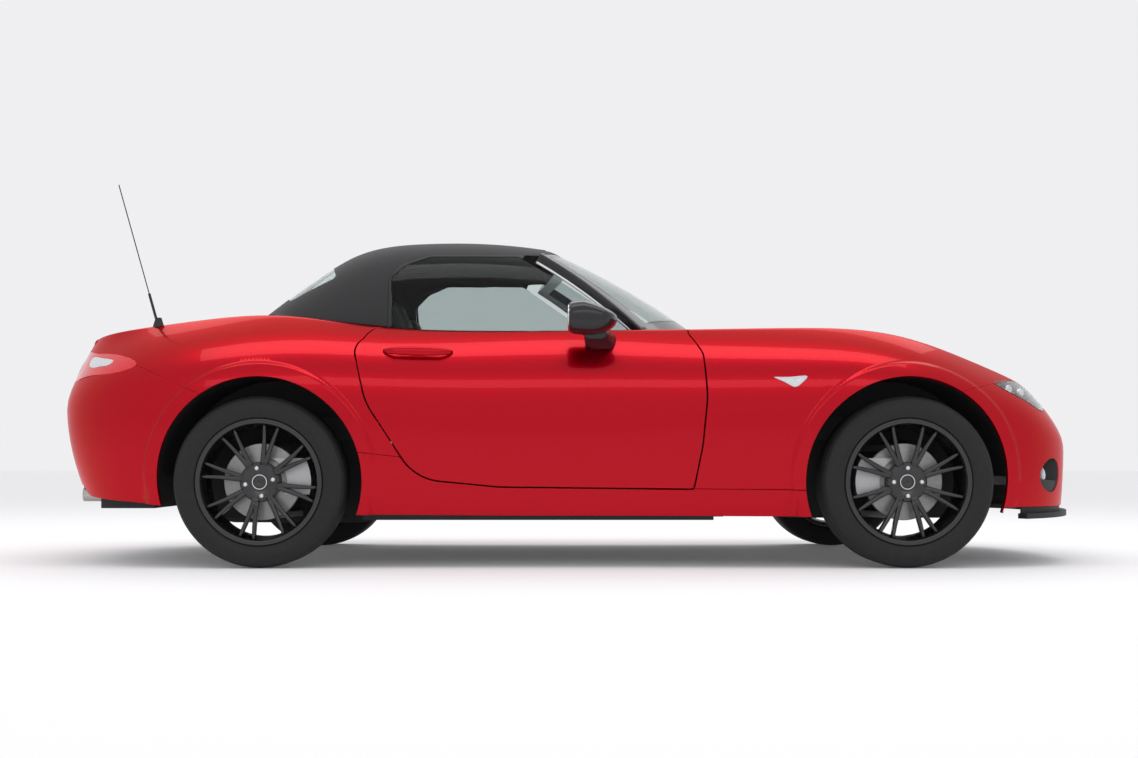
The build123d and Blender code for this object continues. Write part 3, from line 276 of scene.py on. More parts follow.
girdle_rows = np.array(GIRDLE, float)
mirror_rows = girdle_rows[::-1] * [1, -1, 1, 1, 1, 1, 1]
ring = np.vstack([mirror_rows[:-1], girdle_rows, mirror_rows[1:]])
ring_s = np.concatenate([[0], np.cumsum(np.hypot(np.diff(ring[:, 0]), np.diff(ring[:, 1])))])
ring_s -= ring_s[len(GIRDLE) - 1]           # s is 0 at the nose and grows along the left side
s_tail = ring_s[2 * len(GIRDLE) - 2]
crown_rows = np.array(CROWN, float)
ring_slopes, crown_slopes = natural(ring_s, ring), natural(crown_rows[:, 0], crown_rows)


def girdle(column, s):
    """A column of the girdle's table at s round the car."""
    return along(ring_s, ring[:, column], ring_slopes[:, column], s)


def top(x, y):
    """Height of the body's top: z = middle + a (y / 650)^2 + b (y / 650)^4, each splined along x."""
    centre, a, b = (along(crown_rows[:, 0], crown_rows[:, k], crown_slopes[:, k], x) for k in (1, 2, 3))
    t = np.abs(y) / 650
    return centre + a * t**2 + b * t**4


def raw_side(s, v):
    """Side form: v 0 to 1 climbs from the bottom to the crest, and 1 to 2 rolls in over the top."""
    x, y = girdle(0, s), girdle(1, s)
    dx, dy = girdle(0, s + .5) - girdle(0, s - .5), girdle(1, s + .5) - girdle(1, s - .5)
    run = np.hypot(dx, dy)
    nx, ny = dy / run, -dx / run
    widest, bottom, inset_low, inset_top, power = (girdle(k, s) for k in (2, 3, 4, 5, 6))
    crest = top(x - nx * inset_top, y - ny * inset_top)
    z = bottom + (crest - bottom) * (1 - (1 - np.clip(v, 0, 1))**1.6)
    up = np.clip((z - widest) / (crest - widest), 0, 1)
    low = np.clip((widest - z) / (widest - bottom), 0, 1)
    inset = inset_top * up**power + inset_low * low**2 + np.clip(v - 1, 0, None) * roll_in
    px, py = x - nx * inset, y - ny * inset
    return np.stack([px, py, np.where(v > 1, top(px, py), z)], -1)


def side(s, v):
    """The side form with its crest softened by a weighted mean over nearby v."""
    s, v = np.broadcast_arrays(np.asarray(s, float), np.asarray(v, float))
    reach = np.clip(v / .5, 0, 1)
    near = ((-.07, .15), (-.035, .2), (0, .3), (.035, .2), (.07, .15))
    return sum(weight * raw_side(s, v + shift * reach) for shift, weight in near)


girdle_s = np.linspace(0, s_tail, 3000)
girdle_x = girdle(0, girdle_s)


def s_at(x):
    """Place round the left side where the girdle has this x."""
    return np.interp(-np.asarray(x, float), -girdle_x, girdle_s)


def solved(axis, a, z, s):
    """(s, v) where the side form has the coordinate a on one axis and the height z, by Newton steps on both
    from a first s."""
    v = np.full(a.shape, .5)
    for _ in range(14):
        p = side(s, v)
        ps, pv = side(s + 1, v) - p, (side(s, v + .002) - p) / .002
        det = ps[..., axis] * pv[..., 2] - ps[..., 2] * pv[..., axis]
        ea, ez = a - p[..., axis], z - p[..., 2]
        s = s + np.clip((ea * pv[..., 2] - ez * pv[..., axis]) / det, -60, 60)
        v = np.clip(v + np.clip((ez * ps[..., axis] - ea * ps[..., 2]) / det, -.2, .2), 0, 1.02)
    return np.stack([s, v], -1)


def on_side(x, z):
    """(s, v) of points given by x and height on the left side."""
    x = np.asarray(x, float)
    return solved(0, x, np.asarray(z, float), s_at(x))


def on_nose(y, z, tail=False):
    """(s, v) of points given by y and height on the nose or the tail."""
    y = np.asarray(y, float)
    return solved(1, y, np.asarray(z, float), s_tail - y if tail else y)


def up_at(x, v):
    """(s, v) of points given by x and v, by Newton steps on s."""
    x, v = np.broadcast_arrays(np.asarray(x, float), np.asarray(v, float))
    s = s_at(x)
    for _ in range(10):
        p = side(s, v)
        s = s + np.clip((x - p[..., 0]) / (side(s + 1, v) - p)[..., 0], -60, 60)
    return np.stack([s, v], -1)


def rounded(rows, step=7.0):
    """Open path through corners (x, z, radius): straight runs, with an arc tangent to both at each corner."""
    path = [np.array(rows[0][:2], float)]
    for a, b, c in zip(rows, rows[1:], rows[2:]):
        a, p, c, radius = np.array(a[:2], float), np.array(b[:2], float), np.array(c[:2], float), b[2]
        u, w = (a - p) / np.linalg.norm(a - p), (c - p) / np.linalg.norm(c - p)
        half = math.acos(np.clip(u @ w, -1, 1)) / 2
        if radius <= 0 or abs(half - math.pi / 2) < 1e-3:
            path.append(p)
            continue
        reach = min(radius / math.tan(half), .49 * np.linalg.norm(a - p), .49 * np.linalg.norm(c - p))
        radius = reach * math.tan(half)
        centre = p + (u + w) / np.linalg.norm(u + w) * radius / math.sin(half)
        start, end = p + u * reach - centre, p + w * reach - centre
        turn = math.atan2(start[0] * end[1] - start[1] * end[0], start @ end)
        angle = np.linspace(0, turn, max(4, int(abs(turn) * radius / step) + 2))
        cos, sin = np.cos(angle), np.sin(angle)
        path += list(centre + np.stack([start[0] * cos - start[1] * sin, start[0] * sin + start[1] * cos], 1))
    path.append(np.array(rows[-1][:2], float))
    return np.array(path)


def even(path, step=7.0):
    """The path again with points about a step apart, keeping its ends."""
    path = np.asarray(path, float)
    run = np.r_[0, np.cumsum(np.linalg.norm(np.diff(path, axis=0), axis=1))]
    keep = np.r_[True, np.diff(run) > 1e-6]
    t = np.linspace(0, run[-1], max(2, int(round(run[-1] / step)) + 1))
    return np.stack([np.interp(t, run[keep], path[keep, k]) for k in range(path.shape[1])], 1)


def cut(path, axis, value, above):
    """The part of a path on one side of a value of one coordinate, ended exactly on it."""
    c = path[:, axis] - value
    c = c if above else -c
    out = []
    for k in range(len(path)):
        if k and c[k - 1] * c[k] < 0:
            t = c[k - 1] / (c[k - 1] - c[k])
            out.append(path[k - 1] + t * (path[k] - path[k - 1]))
        if c[k] >= 0:
            out.append(path[k])
    return np.array(out)


def inside(points, loop):
    """Which points lie in a closed loop, by crossings of a ray."""
    x, y = points[:, 0, None], points[:, 1, None]
    a, b = loop, np.roll(loop, -1, axis=0)
    spans = (a[:, 1] > y) != (b[:, 1] > y)
    slope = (b[:, 0] - a[:, 0]) / np.where(b[:, 1] == a[:, 1], 1e-9, b[:, 1] - a[:, 1])
    return (spans & (x < a[:, 0] + (y - a[:, 1]) * slope)).sum(1) % 2 == 1


def within(points, loops):
    """Which points lie in the first loop and outside the others, its holes."""
    return inside(points, loops[0]) & ~np.any([inside(points, hole) for hole in loops[1:]], axis=0)


def clear_of(points, others, distance):
    """The points that lie farther than a distance from all the others."""
    near = np.full(len(points), np.inf)
    for part in np.array_split(others, max(1, len(others) // 200)):
        near = np.minimum(near, np.linalg.norm(points[:, None] - part[None], axis=2).min(1))
    return points[near > distance]


def filled(loops, columns, rows, keep_off, extra=None):
    """Triangles over a flat region with holes: its edge points, extra points and a grid of inner points,
    joined by constrained Delaunay triangulation. Gives the points, the triangles and the loops' indices."""
    grid = np.stack(np.meshgrid(columns, rows, indexing="ij"), -1).reshape(-1, 2)
    edge = np.vstack(loops)
    if extra is not None:
        extra = clear_of(extra, edge, 3.5)
        grid = np.vstack([extra, clear_of(grid, extra, keep_off)])
        keep_off = 3.5
    points = np.vstack([edge, clear_of(grid[within(grid, loops)], edge, keep_off)])
    ends = np.cumsum([0] + [len(loop) for loop in loops])
    places = [np.arange(*span) for span in zip(ends, ends[1:])]
    joins = [pair for place in places for pair in zip(place.tolist(), np.roll(place, -1).tolist())]
    found, _, faces, origin, _, _ = geometry.delaunay_2d_cdt([Vector(p) for p in points], joins, [], 0, 1e-5)
    found = np.array([tuple(p) for p in found])
    new_index = {i: k for k, group in enumerate(origin) for i in group}
    faces = np.array([f for f in faces if len(f) == 3])
    rings = [np.array([new_index[i] for i in place]) for place in places]
    return found, faces[within(found[faces].mean(1), loops)], rings


def unit(vectors):
    """Vectors divided by their lengths."""
    return vectors / np.maximum(np.linalg.norm(vectors, axis=-1, keepdims=True), 1e-9)


def pressed(name, surface, chart, faces, rings, finish, body, slot, roll=2.2, flange=12.0, wall=3.0, hem=2.0,
            lift=0.0):
    """Pressed panel: the surface over its chart, its edges rolled through a quarter round into a
    flange, and an inner face a wall behind it. Each row of the edge is set off along the edge's
    outward direction and the surface's normal."""
    p = surface(chart)
    n = unit(np.cross(*(surface(chart + step) - surface(chart - step) for step in np.eye(2))))
    n = n * (np.sign((n * (p - core)).sum()) or 1)
    a, b, c = (p[faces[:, k]] for k in range(3))
    turned = (np.cross(b - a, c - a) * n[faces[:, 0]]).sum(1) < 0
    faces = np.where(turned[:, None], faces[:, ::-1], faces)
    p = p + n * lift
    outer, inner, count = p.copy(), p - n * wall, len(p)
    points, shade, cells, total = [outer, inner], [n, -n], [faces, faces[:, ::-1] + count], 2 * count
    quarter = [(-roll + roll * math.sin(t), -roll * (1 - math.cos(t)), math.sin(t), math.cos(t))
               for t in np.radians([30, 60, 90])]
    for ring in rings:
        base, m, flat = p[ring].copy(), n[ring], chart[ring]
        before, after = np.roll(base, 1, 0), np.roll(base, -1, 0)
        out = unit(np.cross(after - before, m))
        turn = np.roll(flat, -1, 0) - np.roll(flat, 1, 0)
        probe = unit(np.stack([turn[:, 1], -turn[:, 0]], 1)) * .5
        area = np.sum(flat[:, 0] * np.roll(flat[:, 1], -1) - np.roll(flat[:, 0], -1) * flat[:, 1])
        probe = probe if (area > 0) == (ring is rings[0]) else -probe
        way = surface(flat + probe) - surface(flat)
        out = out * np.sign((out * way).sum(1, keepdims=True) + 1e-12)
        corner = (unit(base - before) * unit(after - base)).sum(1)
        out = out / np.maximum(np.cos(np.arccos(np.clip(corner, -1, 1)) / 2), .5)[:, None]
        outer[ring] = base - out * roll
        inner[ring] = base - out * hem - m * wall
        previous = ring
        for across, down, shade_out, shade_up in quarter + [(0, -flange, 1, 0), (-hem, -flange, -.7, -.7)]:
            points.append(base + out * across + m * down)
            shade.append(unit(out) * shade_out + m * shade_up)
            current = np.arange(len(ring)) + total
            total += len(ring)
            cells.append(np.stack([previous, np.roll(previous, -1), np.roll(current, -1), current], 1))
            previous = current
        cells.append(np.stack([previous, np.roll(previous, -1), np.roll(ring, -1) + count, ring + count], 1))
    points, shade = np.vstack(points), unit(np.vstack(shade))
    all_faces = []
    for cell in cells:
        a, b, c = (points[cell[:, k]] for k in range(3))
        faced = (np.cross(b - a, c - a) * shade[cell[:, :3]].mean(1)).sum()
        all_faces += (cell if faced > 0 else cell[:, ::-1]).tolist()
    return make(name, points, all_faces, finish, body, slot, normals=shade)


# ---- finishes ----
# Finishes that several pieces share: flaked metallic paint under clear coat, gloss and grained plastic,
# seal rubber, sprayed underbody coating that doubles as painted shade, cast aluminium, brushed steel and
# satin trim.
paint = speckled("body_paint", 2600.0, 0.25, 0.12, ((0.38, 0.0, 0.006), (0.52, 0.0, 0.012)), detail=0.0,
                 Metallic=0.9, Coat_Weight=0.3, Coat_Roughness=0.02, Specular_Tint=(1.0, 0.1, 0.14))
gloss_black = speckled("gloss_black", 40.0, 0.16, 0.06, Base_Color=(0.012, 0.012, 0.014), Coat_Weight=0.25,
                       Coat_Roughness=0.03, Specular_IOR_Level=0.3)
plastic = speckled("black_plastic", 900.0, 0.5, 0.15, ((0.016, 0.016, 0.017), (0.028, 0.028, 0.03)),
                   (0.0003, 0.4), detail=1.0, Specular_IOR_Level=0.3)
rubber = speckled("seal_rubber", 120.0, 0.55, 0.2, Base_Color=(0.012, 0.012, 0.012))
# Dark underbody coating; on the radiator and the exhaust it stands in as painted shade.
coating_and_shade = speckled("underbody_coating_and_shade", 160.0, 0.62, 0.2, ((0.018, 0.018, 0.019), (0.045, 0.044, 0.043)),
                     (0.0008, 0.5), detail=3.0)
cast = speckled("cast_aluminium", 260.0, 0.38, 0.2, ((0.36, 0.36, 0.37), (0.52, 0.52, 0.53)),
                (0.0004, 0.5), detail=3.0, Metallic=0.85)
steel = speckled("bright_steel", 90.0, 0.2, 0.18, ((0.42, 0.41, 0.40), (0.62, 0.61, 0.6)), stretch=(1, 8, 8),
                 Metallic=1.0)
satin_silver = speckled("satin_trim", 60.0, 0.26, 0.08, Metallic=0.9, Base_Color=(0.66, 0.66, 0.68))


# ---- body panels ----
# Pressed steel about a millimetre thick, hemmed at every edge and painted in red metallic under clear coat.
# The fixed panels are bolted or welded to the body; the doors, the hood and the boot lid hang on hinges.
fixed_gap = 0.6
shut_gap = 5.0
bulkhead_x = mid - 818.0
boot_front_x = mid - 1330.0
door_ledge = 855.6
v_edge = 1.95
v_hood = v_edge + (shut_gap + 1.5) / roll_in
v_lid = v_edge + (shut_gap + 4) / roll_in
tail_split = 486.0
tail_line = 684.0
seam_low, seam_high = 396.0, 413.0          # sill to quarter: at the door and at the rear arch
fender_foot = 279.6, 282.6                  # the fender's lower edge: at the arch and at the door
sill_top = 278.0, 282.0                     # the sill's upper edge under it, at the same places
sill_foot = 183.5, 190.0                    # the sill's lower edge at the front and the rear arch
bumper_foot = 192.0, 214.0                  # where the front and the rear bumper end on the arches
belt_front, belt_rear = mid + 384.0, mid - 726.0      # the door opening's ends at the belt
chart_height = 520.0            # millimetres of chart for one unit of v

DOOR = [         # x, z, corner radius, from the belt down the front edge and up the rear edge
    (mid + 378, 990, 0), (mid + 384, 846, 20), (mid + 430, 770, 60), (mid + 441, 610, 300),
    (mid + 425, 440, 300), (mid + 394, 281, 12), (mid - 300, 289, 300), (mid - 600, 318, 180),
    (mid - 775, 590, 260), (mid - 826, 800, 60), (mid - 722, 876, 10), (mid - 722, 990, 0),
]
HEADLAMP = [     # x, z
    (front_axle + 340, 664), (front_axle + 422, 680), (front_axle + 495, 667),
    (front_axle + 565, 619), (front_axle + 587, 590), (front_axle + 557, 568),
    (front_axle + 498, 585), (front_axle + 422, 622), (front_axle + 352, 656),
]
TAIL_LAMP = [    # x, z
    (rear_axle - 456, 729), (rear_axle - 560, 773), (rear_axle - 668, 786),
    (rear_axle - 900, 790), (rear_axle - 900, 685), (rear_axle - 718, 684.6),
    (rear_axle - 650, 695), (rear_axle - 527, 702),
]


flare_height, flare_radius, flare_fade = 8.0, 424.0, 16.0


def flared(p):
    """How far the arch's lip stands out: a smooth step of the distance from the arch's middle."""
    out = 0
    for x in (front_axle, rear_axle):
        r = np.hypot(p[..., 0] - x, p[..., 2] - arch_height)
        t = np.clip((flare_radius - r) / flare_fade, 0, 1)
        out = out + flare_height * t * t * (3 - 2 * t)
    return out


def body(chart):
    """The side form over a chart of s and v in millimetres, with the lips of the wheel arches."""
    s, v = chart[..., 0], chart[..., 1] / chart_height
    p = side(s, v)
    out = flared(p)
    if not np.any(out):
        return p
    n = unit(np.cross(side(s + 2, v) - p, side(s, v + .004) - p))
    n = n * np.sign((n * (p - core)).sum(-1, keepdims=True))
    return p + n * out[..., None]


def charted(path):
    """A path of (s, v) in the chart's millimetres."""
    return path * [1, chart_height]


def climb(path, x_end, v_top):
    """Chart path up a side-view path to just below the crest, then on over it to v_top at x_end."""
    low = on_side(path[:, 0], path[:, 1])
    low = low[:max(1, np.argmax(np.r_[low[:, 1] > .93, True]))]
    last = path[len(low) - 1, 0]
    v = np.linspace(low[-1, 1], v_top, 22)[1:]
    blend = np.clip((v - low[-1, 1]) / max(1.12 - low[-1, 1], .1), 0, 1)
    return np.vstack([low, up_at(last + (x_end - last) * blend, v)])


def along_v(x0, x1, v):
    """Chart path at one v between two x."""
    first, last = (up_at(np.array([x]), v)[0] for x in (x0, x1))
    return np.linspace(first, last, int(abs(last[0] - first[0]) / 9) + 2)


def grown(path, distance):
    """Open path set off to its left."""
    along = np.gradient(path, axis=0)
    return path + distance * np.stack([-along[:, 1], along[:, 0]], 1) / np.hypot(*along.T)[:, None]


def circle(x, z, radius, low, high, step=9.0):
    """Arc round (x, z) between two angles in degrees from the front, upward."""
    a = np.radians(np.linspace(low, high, int(abs(high - low) * math.pi / 180 * radius / step) + 2))
    return np.stack([x + radius * np.cos(a), z + radius * np.sin(a)], 1)


def joined(*paths):
    """One closed loop of chart points from paths that meet end to end, evenly spaced."""
    return np.vstack([even(charted(path))[:-1] for path in paths])


def smooth_loop(rows, step=6.0):
    """Closed outline through points by a periodic cubic spline over its chord length."""
    rows = np.array(rows, float)[:, :2]
    wide = np.vstack([rows[-4:], rows, rows[:5]])
    run = np.r_[0, np.cumsum(np.linalg.norm(np.diff(wide, axis=0), axis=1))]
    t = np.linspace(run[4], run[4 + len(rows)], int((run[4 + len(rows)] - run[4]) / step) + 1)[:-1]
    return np.stack([spline(run, wide[:, k], t) for k in (0, 1)], 1)


def angle_at(z):
    """Angle at which a wheel arch's edge has a height, in degrees from the front."""
    return math.degrees(math.asin((z - arch_height) / arch_radius))


def arch(axle, low, high):
    """Arc along a wheel arch's edge between two angles in degrees."""
    return circle(axle, arch_height, arch_radius, low, high)


def arch_points(x):
    """Chart points on circles over an arch's lip."""
    radii = (372, 390, 405, 411, 416, 421, 428, 440)
    rings = np.vstack([circle(x, arch_height, r, 2, 178, 14) for r in radii])
    return charted(on_side(*rings[rings[:, 1] < 800].T))


def panel(name, loops, finish, ride, slot, step=34.0, mirrored=True, extra=None, **edge):
    """Pressed panel over a chart region, and its mirror image on the right."""
    columns = np.arange(loops[0][:, 0].min() + step / 3, loops[0][:, 0].max(), step)
    rows = np.arange(loops[0][:, 1].min() + step / 3, loops[0][:, 1].max(), step * .8)
    chart, faces, rings = filled(loops, columns, rows, step * .42, extra)
    return [pressed(f"{name}_{hand}".rstrip("_"), lambda c: body(c) * [1, sign, 1], chart, faces, rings,
                    finish, ride.format(hand=hand), slot, **edge)
            for hand, sign in (HANDS if mirrored else (("", 1),))]


door_line = cut(rounded(DOOR), 1, 200, True)


def door_edges(grow):
    """The door's front, bottom and rear edges as chart paths, set outward by a distance."""
    whole = grown(door_line, grow)
    front = cut(whole[:np.argmin(whole[:, 1]) + 1], 1, 0, True)
    rear = whole[np.argmin(whole[:, 1]):]
    return front, rear


def before_crest(path):
    """The rows of a side-view path below the crest, from the low end up."""
    path = path if path[0, 1] < path[-1, 1] else path[::-1]
    high = top(path[:, 0], np.full(len(path), 640.0)) - 2
    return path[:np.argmax(np.r_[path[:, 1] > high, True])]


def on_arch(point, axle):
    """A point moved along its radius onto an arch's edge, and its angle in degrees."""
    centre = np.array([axle, arch_height])
    point = centre + arch_radius * unit(point - centre)
    return point, math.degrees(math.atan2(*(point - centre)[::-1]))


# doors: their own outer skins, from 2.5 mm inside the opening's line
front, rear = door_edges(-shut_gap / 2)
front_x, rear_x, v_door = mid + 380.5 - shut_gap / 2, mid - 722 + shut_gap / 2, 1.42
front_up, rear_up = climb(before_crest(front), front_x, v_door), climb(before_crest(rear), rear_x, v_door)
door_top = along_v(front_x, rear_x, v_door)
door_loop = joined(front_up[::-1], rear_up, door_top[::-1])
panel("door_skin", [door_loop], paint, "door_{hand}", "body_paint", lift=.5, roll=.9)

# front fenders, down to the sill and forward to the bumper
front, rear = door_edges(shut_gap / 2)
front = cut(before_crest(front), 1, fender_foot[1], True)
front_up = climb(front, belt_front, v_edge)
arch_low = angle_at(fender_foot[0])
seam = np.array([(194.2, 626.9), (198, 629), (340, 664), (422, 680)]) + [front_axle, 0]
seam[0], seam_angle = on_arch(seam[0], front_axle)
fender_arch = arch(front_axle, 180 - arch_low, seam_angle)
fender_low = np.array([front[0], fender_arch[0]])
seam = even(rounded(np.c_[seam, np.full(len(seam), 120)]), 6)
nose_s = np.linspace(s_at(front_axle + 600), s_at(front_axle + 330), 200)
nose_v = np.linspace(on_side(*seam[-1:].T)[0, 1], v_edge, 22)
rise = side(nose_s[None], nose_v[:, None])
rise = rise[..., 2] - 680 - (rise[..., 0] - front_axle - 422) * 20 / 138
fender_nose = np.stack([[np.interp(0, row, nose_s) for row in rise], nose_v], 1)
fender_nose[0] = on_side(*seam[-1:].T)[0]
fender_top = np.linspace(fender_nose[-1], (front_up[-1, 0], v_edge), 180)
fender_loop = joined(front_up[::-1], on_side(*even(fender_low).T), on_side(*fender_arch.T),
                     on_side(*seam.T), fender_nose, fender_top)
fenders = panel("fender_skin", [fender_loop], paint, "body", "body_paint", extra=arch_points(front_axle))
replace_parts(fenders[0], "front_fenders")

# rear quarters, from the door's rear edge to the tail lamp
rear = cut(before_crest(rear), 1, seam_low + fixed_gap, True)
rear = rear[rear[:, 0] < mid - 560]
rear_up = climb(rear, belt_rear, v_edge)
rear_low = np.array([rear[0], [rear_axle + 351, seam_high + fixed_gap]])
arch_seam = angle_at(seam_high + fixed_gap)
quarter_rows = np.array([(-202.5, 616), (-262, 643), (-456, 729), (-560, 773), (-668, 786), (-856, 789)])
quarter_rows = quarter_rows + [rear_axle, 0]
quarter_rows[0], quarter_angle = on_arch(quarter_rows[0], rear_axle)
quarter_arch = arch(rear_axle, arch_seam, quarter_angle)
quarter_seam = even(rounded(np.c_[quarter_rows, [0, 100, 300, 250, 250, 0]]), 6)
s_end = s_tail - tail_split
on_tail = on_side(*cut(quarter_seam, 0, rear_axle - 700, True).T)
tail_up = np.linspace((s_end, on_tail[-1, 1]), (s_end, v_edge), 16)
tail_join = np.linspace(on_tail[-1], (s_end, on_tail[-1, 1]), 6)
quarter_top = np.linspace((s_end, v_edge), up_at(np.array([belt_rear]), v_edge)[0], 60)
quarter_loop = joined(rear_up[::-1], on_side(*even(rear_low).T), on_side(*quarter_arch.T),
                      on_tail, tail_join, tail_up, quarter_top)
quarters = panel("quarter_skin", [quarter_loop], paint, "body", "body_paint", extra=arch_points(rear_axle))
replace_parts(quarters[0], "rear_quarters")

# sills between the arches
door_low = cut(door_edges(shut_gap / 2)[1], 1, seam_low, False)
door_low = door_low[door_low[:, 1] < seam_low + 1]
front_low = cut(door_edges(shut_gap / 2)[0], 1, sill_top[1], False)
front_low = front_low[np.argsort(-front_low[:, 1])]
sill_front = arch(front_axle, 180 - angle_at(sill_foot[0]), 180 - angle_at(sill_top[0]))
sill_rear = arch(rear_axle, angle_at(seam_high), angle_at(sill_foot[1]))
sill_high = np.vstack([sill_front[-1:], [[mid + 400, sill_top[1]]], front_low, door_low, sill_rear[:1]])
sill_chart = on_side(*even(sill_high, 9).T)
front_chart, rear_chart = on_side(*sill_front.T), on_side(*sill_rear.T)
sill_loop = joined(front_chart, sill_chart, rear_chart, np.linspace(rear_chart[-1], front_chart[0], 200))
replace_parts(panel("sill_skin", [sill_loop], paint, "body", "body_paint")[0], "sills")

# bumpers: one piece across the nose with its mouth and pockets, one across the tail
def mirrored_loop(half, middle):
    """Closed chart loop from its half at s over the middle, given from the low middle to the high middle."""
    other = half[::-1] * [-1, 1] + [2 * middle, 0]
    return np.vstack([even(charted(half)), even(charted(other))[1:-1]])


bumper_arch = on_side(*arch(front_axle, angle_at(bumper_foot[0]), seam_angle).T)
bumper_bottom = np.linspace((0, .03), (bumper_arch[0, 0], .03), 150)
bumper_bottom[-1] = bumper_arch[0]
half = np.vstack([bumper_bottom[:-1], bumper_arch[:-1], on_side(*seam.T)[:-1], fender_nose,
                  np.linspace(fender_nose[-1], (0, v_edge), 90)[1:]])
front_loop = mirrored_loop(half, 0)
lamp_chart = charted(on_side(*smooth_loop(HEADLAMP).T))
mouth_half_width, mouth_low, mouth_high, mouth_corner = 430.0, 285.0, 455.0, 84
pocket_y, pocket_z, pocket_radius = 640.0, 330.0, 62.0
mouth_half = even(rounded([(0, mouth_low, 0), (mouth_half_width, mouth_low, mouth_corner),
                           (mouth_half_width, mouth_high, mouth_corner), (0, mouth_high, 0)]))
mouth_path = np.vstack([mouth_half, (mouth_half[::-1] * [-1, 1])[1:-1]])
mouth_chart = charted(on_nose(*mouth_path.T))
turn = np.linspace(0, 2 * math.pi, 48)[:-1]
pocket_path = np.stack([pocket_y + pocket_radius * np.cos(turn), pocket_z + pocket_radius * np.sin(turn)], 1)
pocket_chart = charted(on_nose(*pocket_path.T))
flip = np.array([-1, 1])
holes = [lamp_chart, lamp_chart * flip, mouth_chart, pocket_chart, pocket_chart * flip]
front_lips = arch_points(front_axle)
nose_skin, = panel("front_bumper_skin", [front_loop] + holes, paint, "body", "body_paint", mirrored=False,
                   extra=np.vstack([front_lips, front_lips * flip]))
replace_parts(nose_skin, "front_bumper")

rear_arch = on_side(*arch(rear_axle, 180 - angle_at(bumper_foot[1]), quarter_angle).T)
lamp_rows = ((456, 728.4, 0), (527, 701.4, 60), (650, 694.4, 60), (718, tail_line - fixed_gap, 0))
lamp_low = even(rounded([(rear_axle - x, z, radius) for x, z, radius in lamp_rows]), 6)
seam_part = cut(quarter_seam, 0, rear_axle - 456, True)
tail_flat = on_side(*lamp_low.T)
across_s = np.linspace(tail_flat[-1, 0], s_tail, 60)[1:]


def v_at_height(s, z):
    """v of a height on the side form at each s, read from a table of v."""
    v = np.linspace(.2, 1, 200)
    rows = side(np.asarray(s)[:, None], v[None])[..., 2]
    return np.array([np.interp(z, row, v) for row in rows])


tail_high = np.stack([across_s, v_at_height(across_s, tail_line - fixed_gap)], 1)
notch_rows = [(0, 272, 0), (390, 266, 30), (412, 292, 30), (566, 292, 34), (600, 254, 60), (760, 236, 0)]
notch = on_nose(*even(rounded(notch_rows), 7).T, tail=True)
half_bottom = notch[np.argsort(-notch[:, 0])]
rear_bottom = np.vstack([half_bottom, rear_arch[:1]])
half = np.vstack([rear_bottom[:-1], rear_arch[:-1], on_side(*seam_part.T)[:-1], tail_flat[:-1], tail_high])
rear_loop = mirrored_loop(half, s_tail)
rear_lips = arch_points(rear_axle)
tail_skin, = panel("rear_bumper_skin", [rear_loop], paint, "body", "body_paint", mirrored=False,
                   extra=np.vstack([rear_lips, rear_lips * [-1, 1] + [2 * s_tail, 0]]))
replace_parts(tail_skin, "rear_bumper")


# hood, boot lid and the fixed tops between them, on grids over the crown
def coons(a, b, c, d):
    """Plan grid between curves a and b (along rows) and c and d (along columns)."""
    n, m = len(c), len(a)
    u, w = np.linspace(0, 1, n)[:, None, None], np.linspace(0, 1, m)[None, :, None]
    ruled = (1 - u) * a[None] + u * b[None] + (1 - w) * c[:, None] + w * d[:, None]
    corners = (1 - u) * ((1 - w) * a[0] + w * a[-1]) + u * ((1 - w) * b[0] + w * b[-1])
    return ruled - corners


def lifted(plan):
    """Plan points set on the body's top."""
    return np.stack([plan[..., 0], plan[..., 1], top(plan[..., 0], plan[..., 1])], -1)


def grid_panel(name, points, finish, ride, slot, **edge):
    """Pressed panel over a grid of points, read between them by bilinear interpolation."""
    n, m = points.shape[:2]

    def surface(chart):
        i, j = np.clip(chart[:, 0], 0, n - 1.001), np.clip(chart[:, 1], 0, m - 1.001)
        a, b = i.astype(int), j.astype(int)
        fi, fj = (i - a)[:, None], (j - b)[:, None]
        fi, fj = fi + (chart[:, 0] - i)[:, None], fj + (chart[:, 1] - j)[:, None]
        low = points[a, b] * (1 - fj) + points[a, b + 1] * fj
        return low * (1 - fi) + (points[a + 1, b] * (1 - fj) + points[a + 1, b + 1] * fj) * fi

    chart = np.stack(np.meshgrid(np.arange(n), np.arange(m), indexing="ij"), -1).reshape(-1, 2).astype(float)
    index = np.arange(n * m).reshape(n, m)
    ring = np.r_[index[0], index[1:, -1], index[-1, -2::-1], index[-2:0:-1, 0]]
    return pressed(name, surface, chart, quads(n, m), [ring], finish, ride, slot, **edge)


def hood_rear(y):
    """x of the hood's rear edge."""
    return mid + 502 - 205 * (y / 640)**2


s_corner = s_at(front_axle + 430)
edge_s = np.linspace(s_at(front_axle - 400), s_at(mid + 330), 600)
edge_rows = side(edge_s, v_hood)
s_end_hood = edge_s[np.argmin(np.abs(edge_rows[:, 0] - hood_rear(edge_rows[:, 1])))]
nose = side(np.linspace(-s_corner, s_corner, 61), v_hood)[:, :2]
left = side(np.linspace(s_corner, s_end_hood, 71), v_hood)[:, :2]
y = np.linspace(-left[-1, 1], left[-1, 1], 61)
hood_grid = lifted(coons(nose, np.stack([hood_rear(y), y], -1), left * [1, -1], left))
grid_panel("hood_skin", hood_grid, paint, "hood", "body_paint", lift=.5, roll=.9)

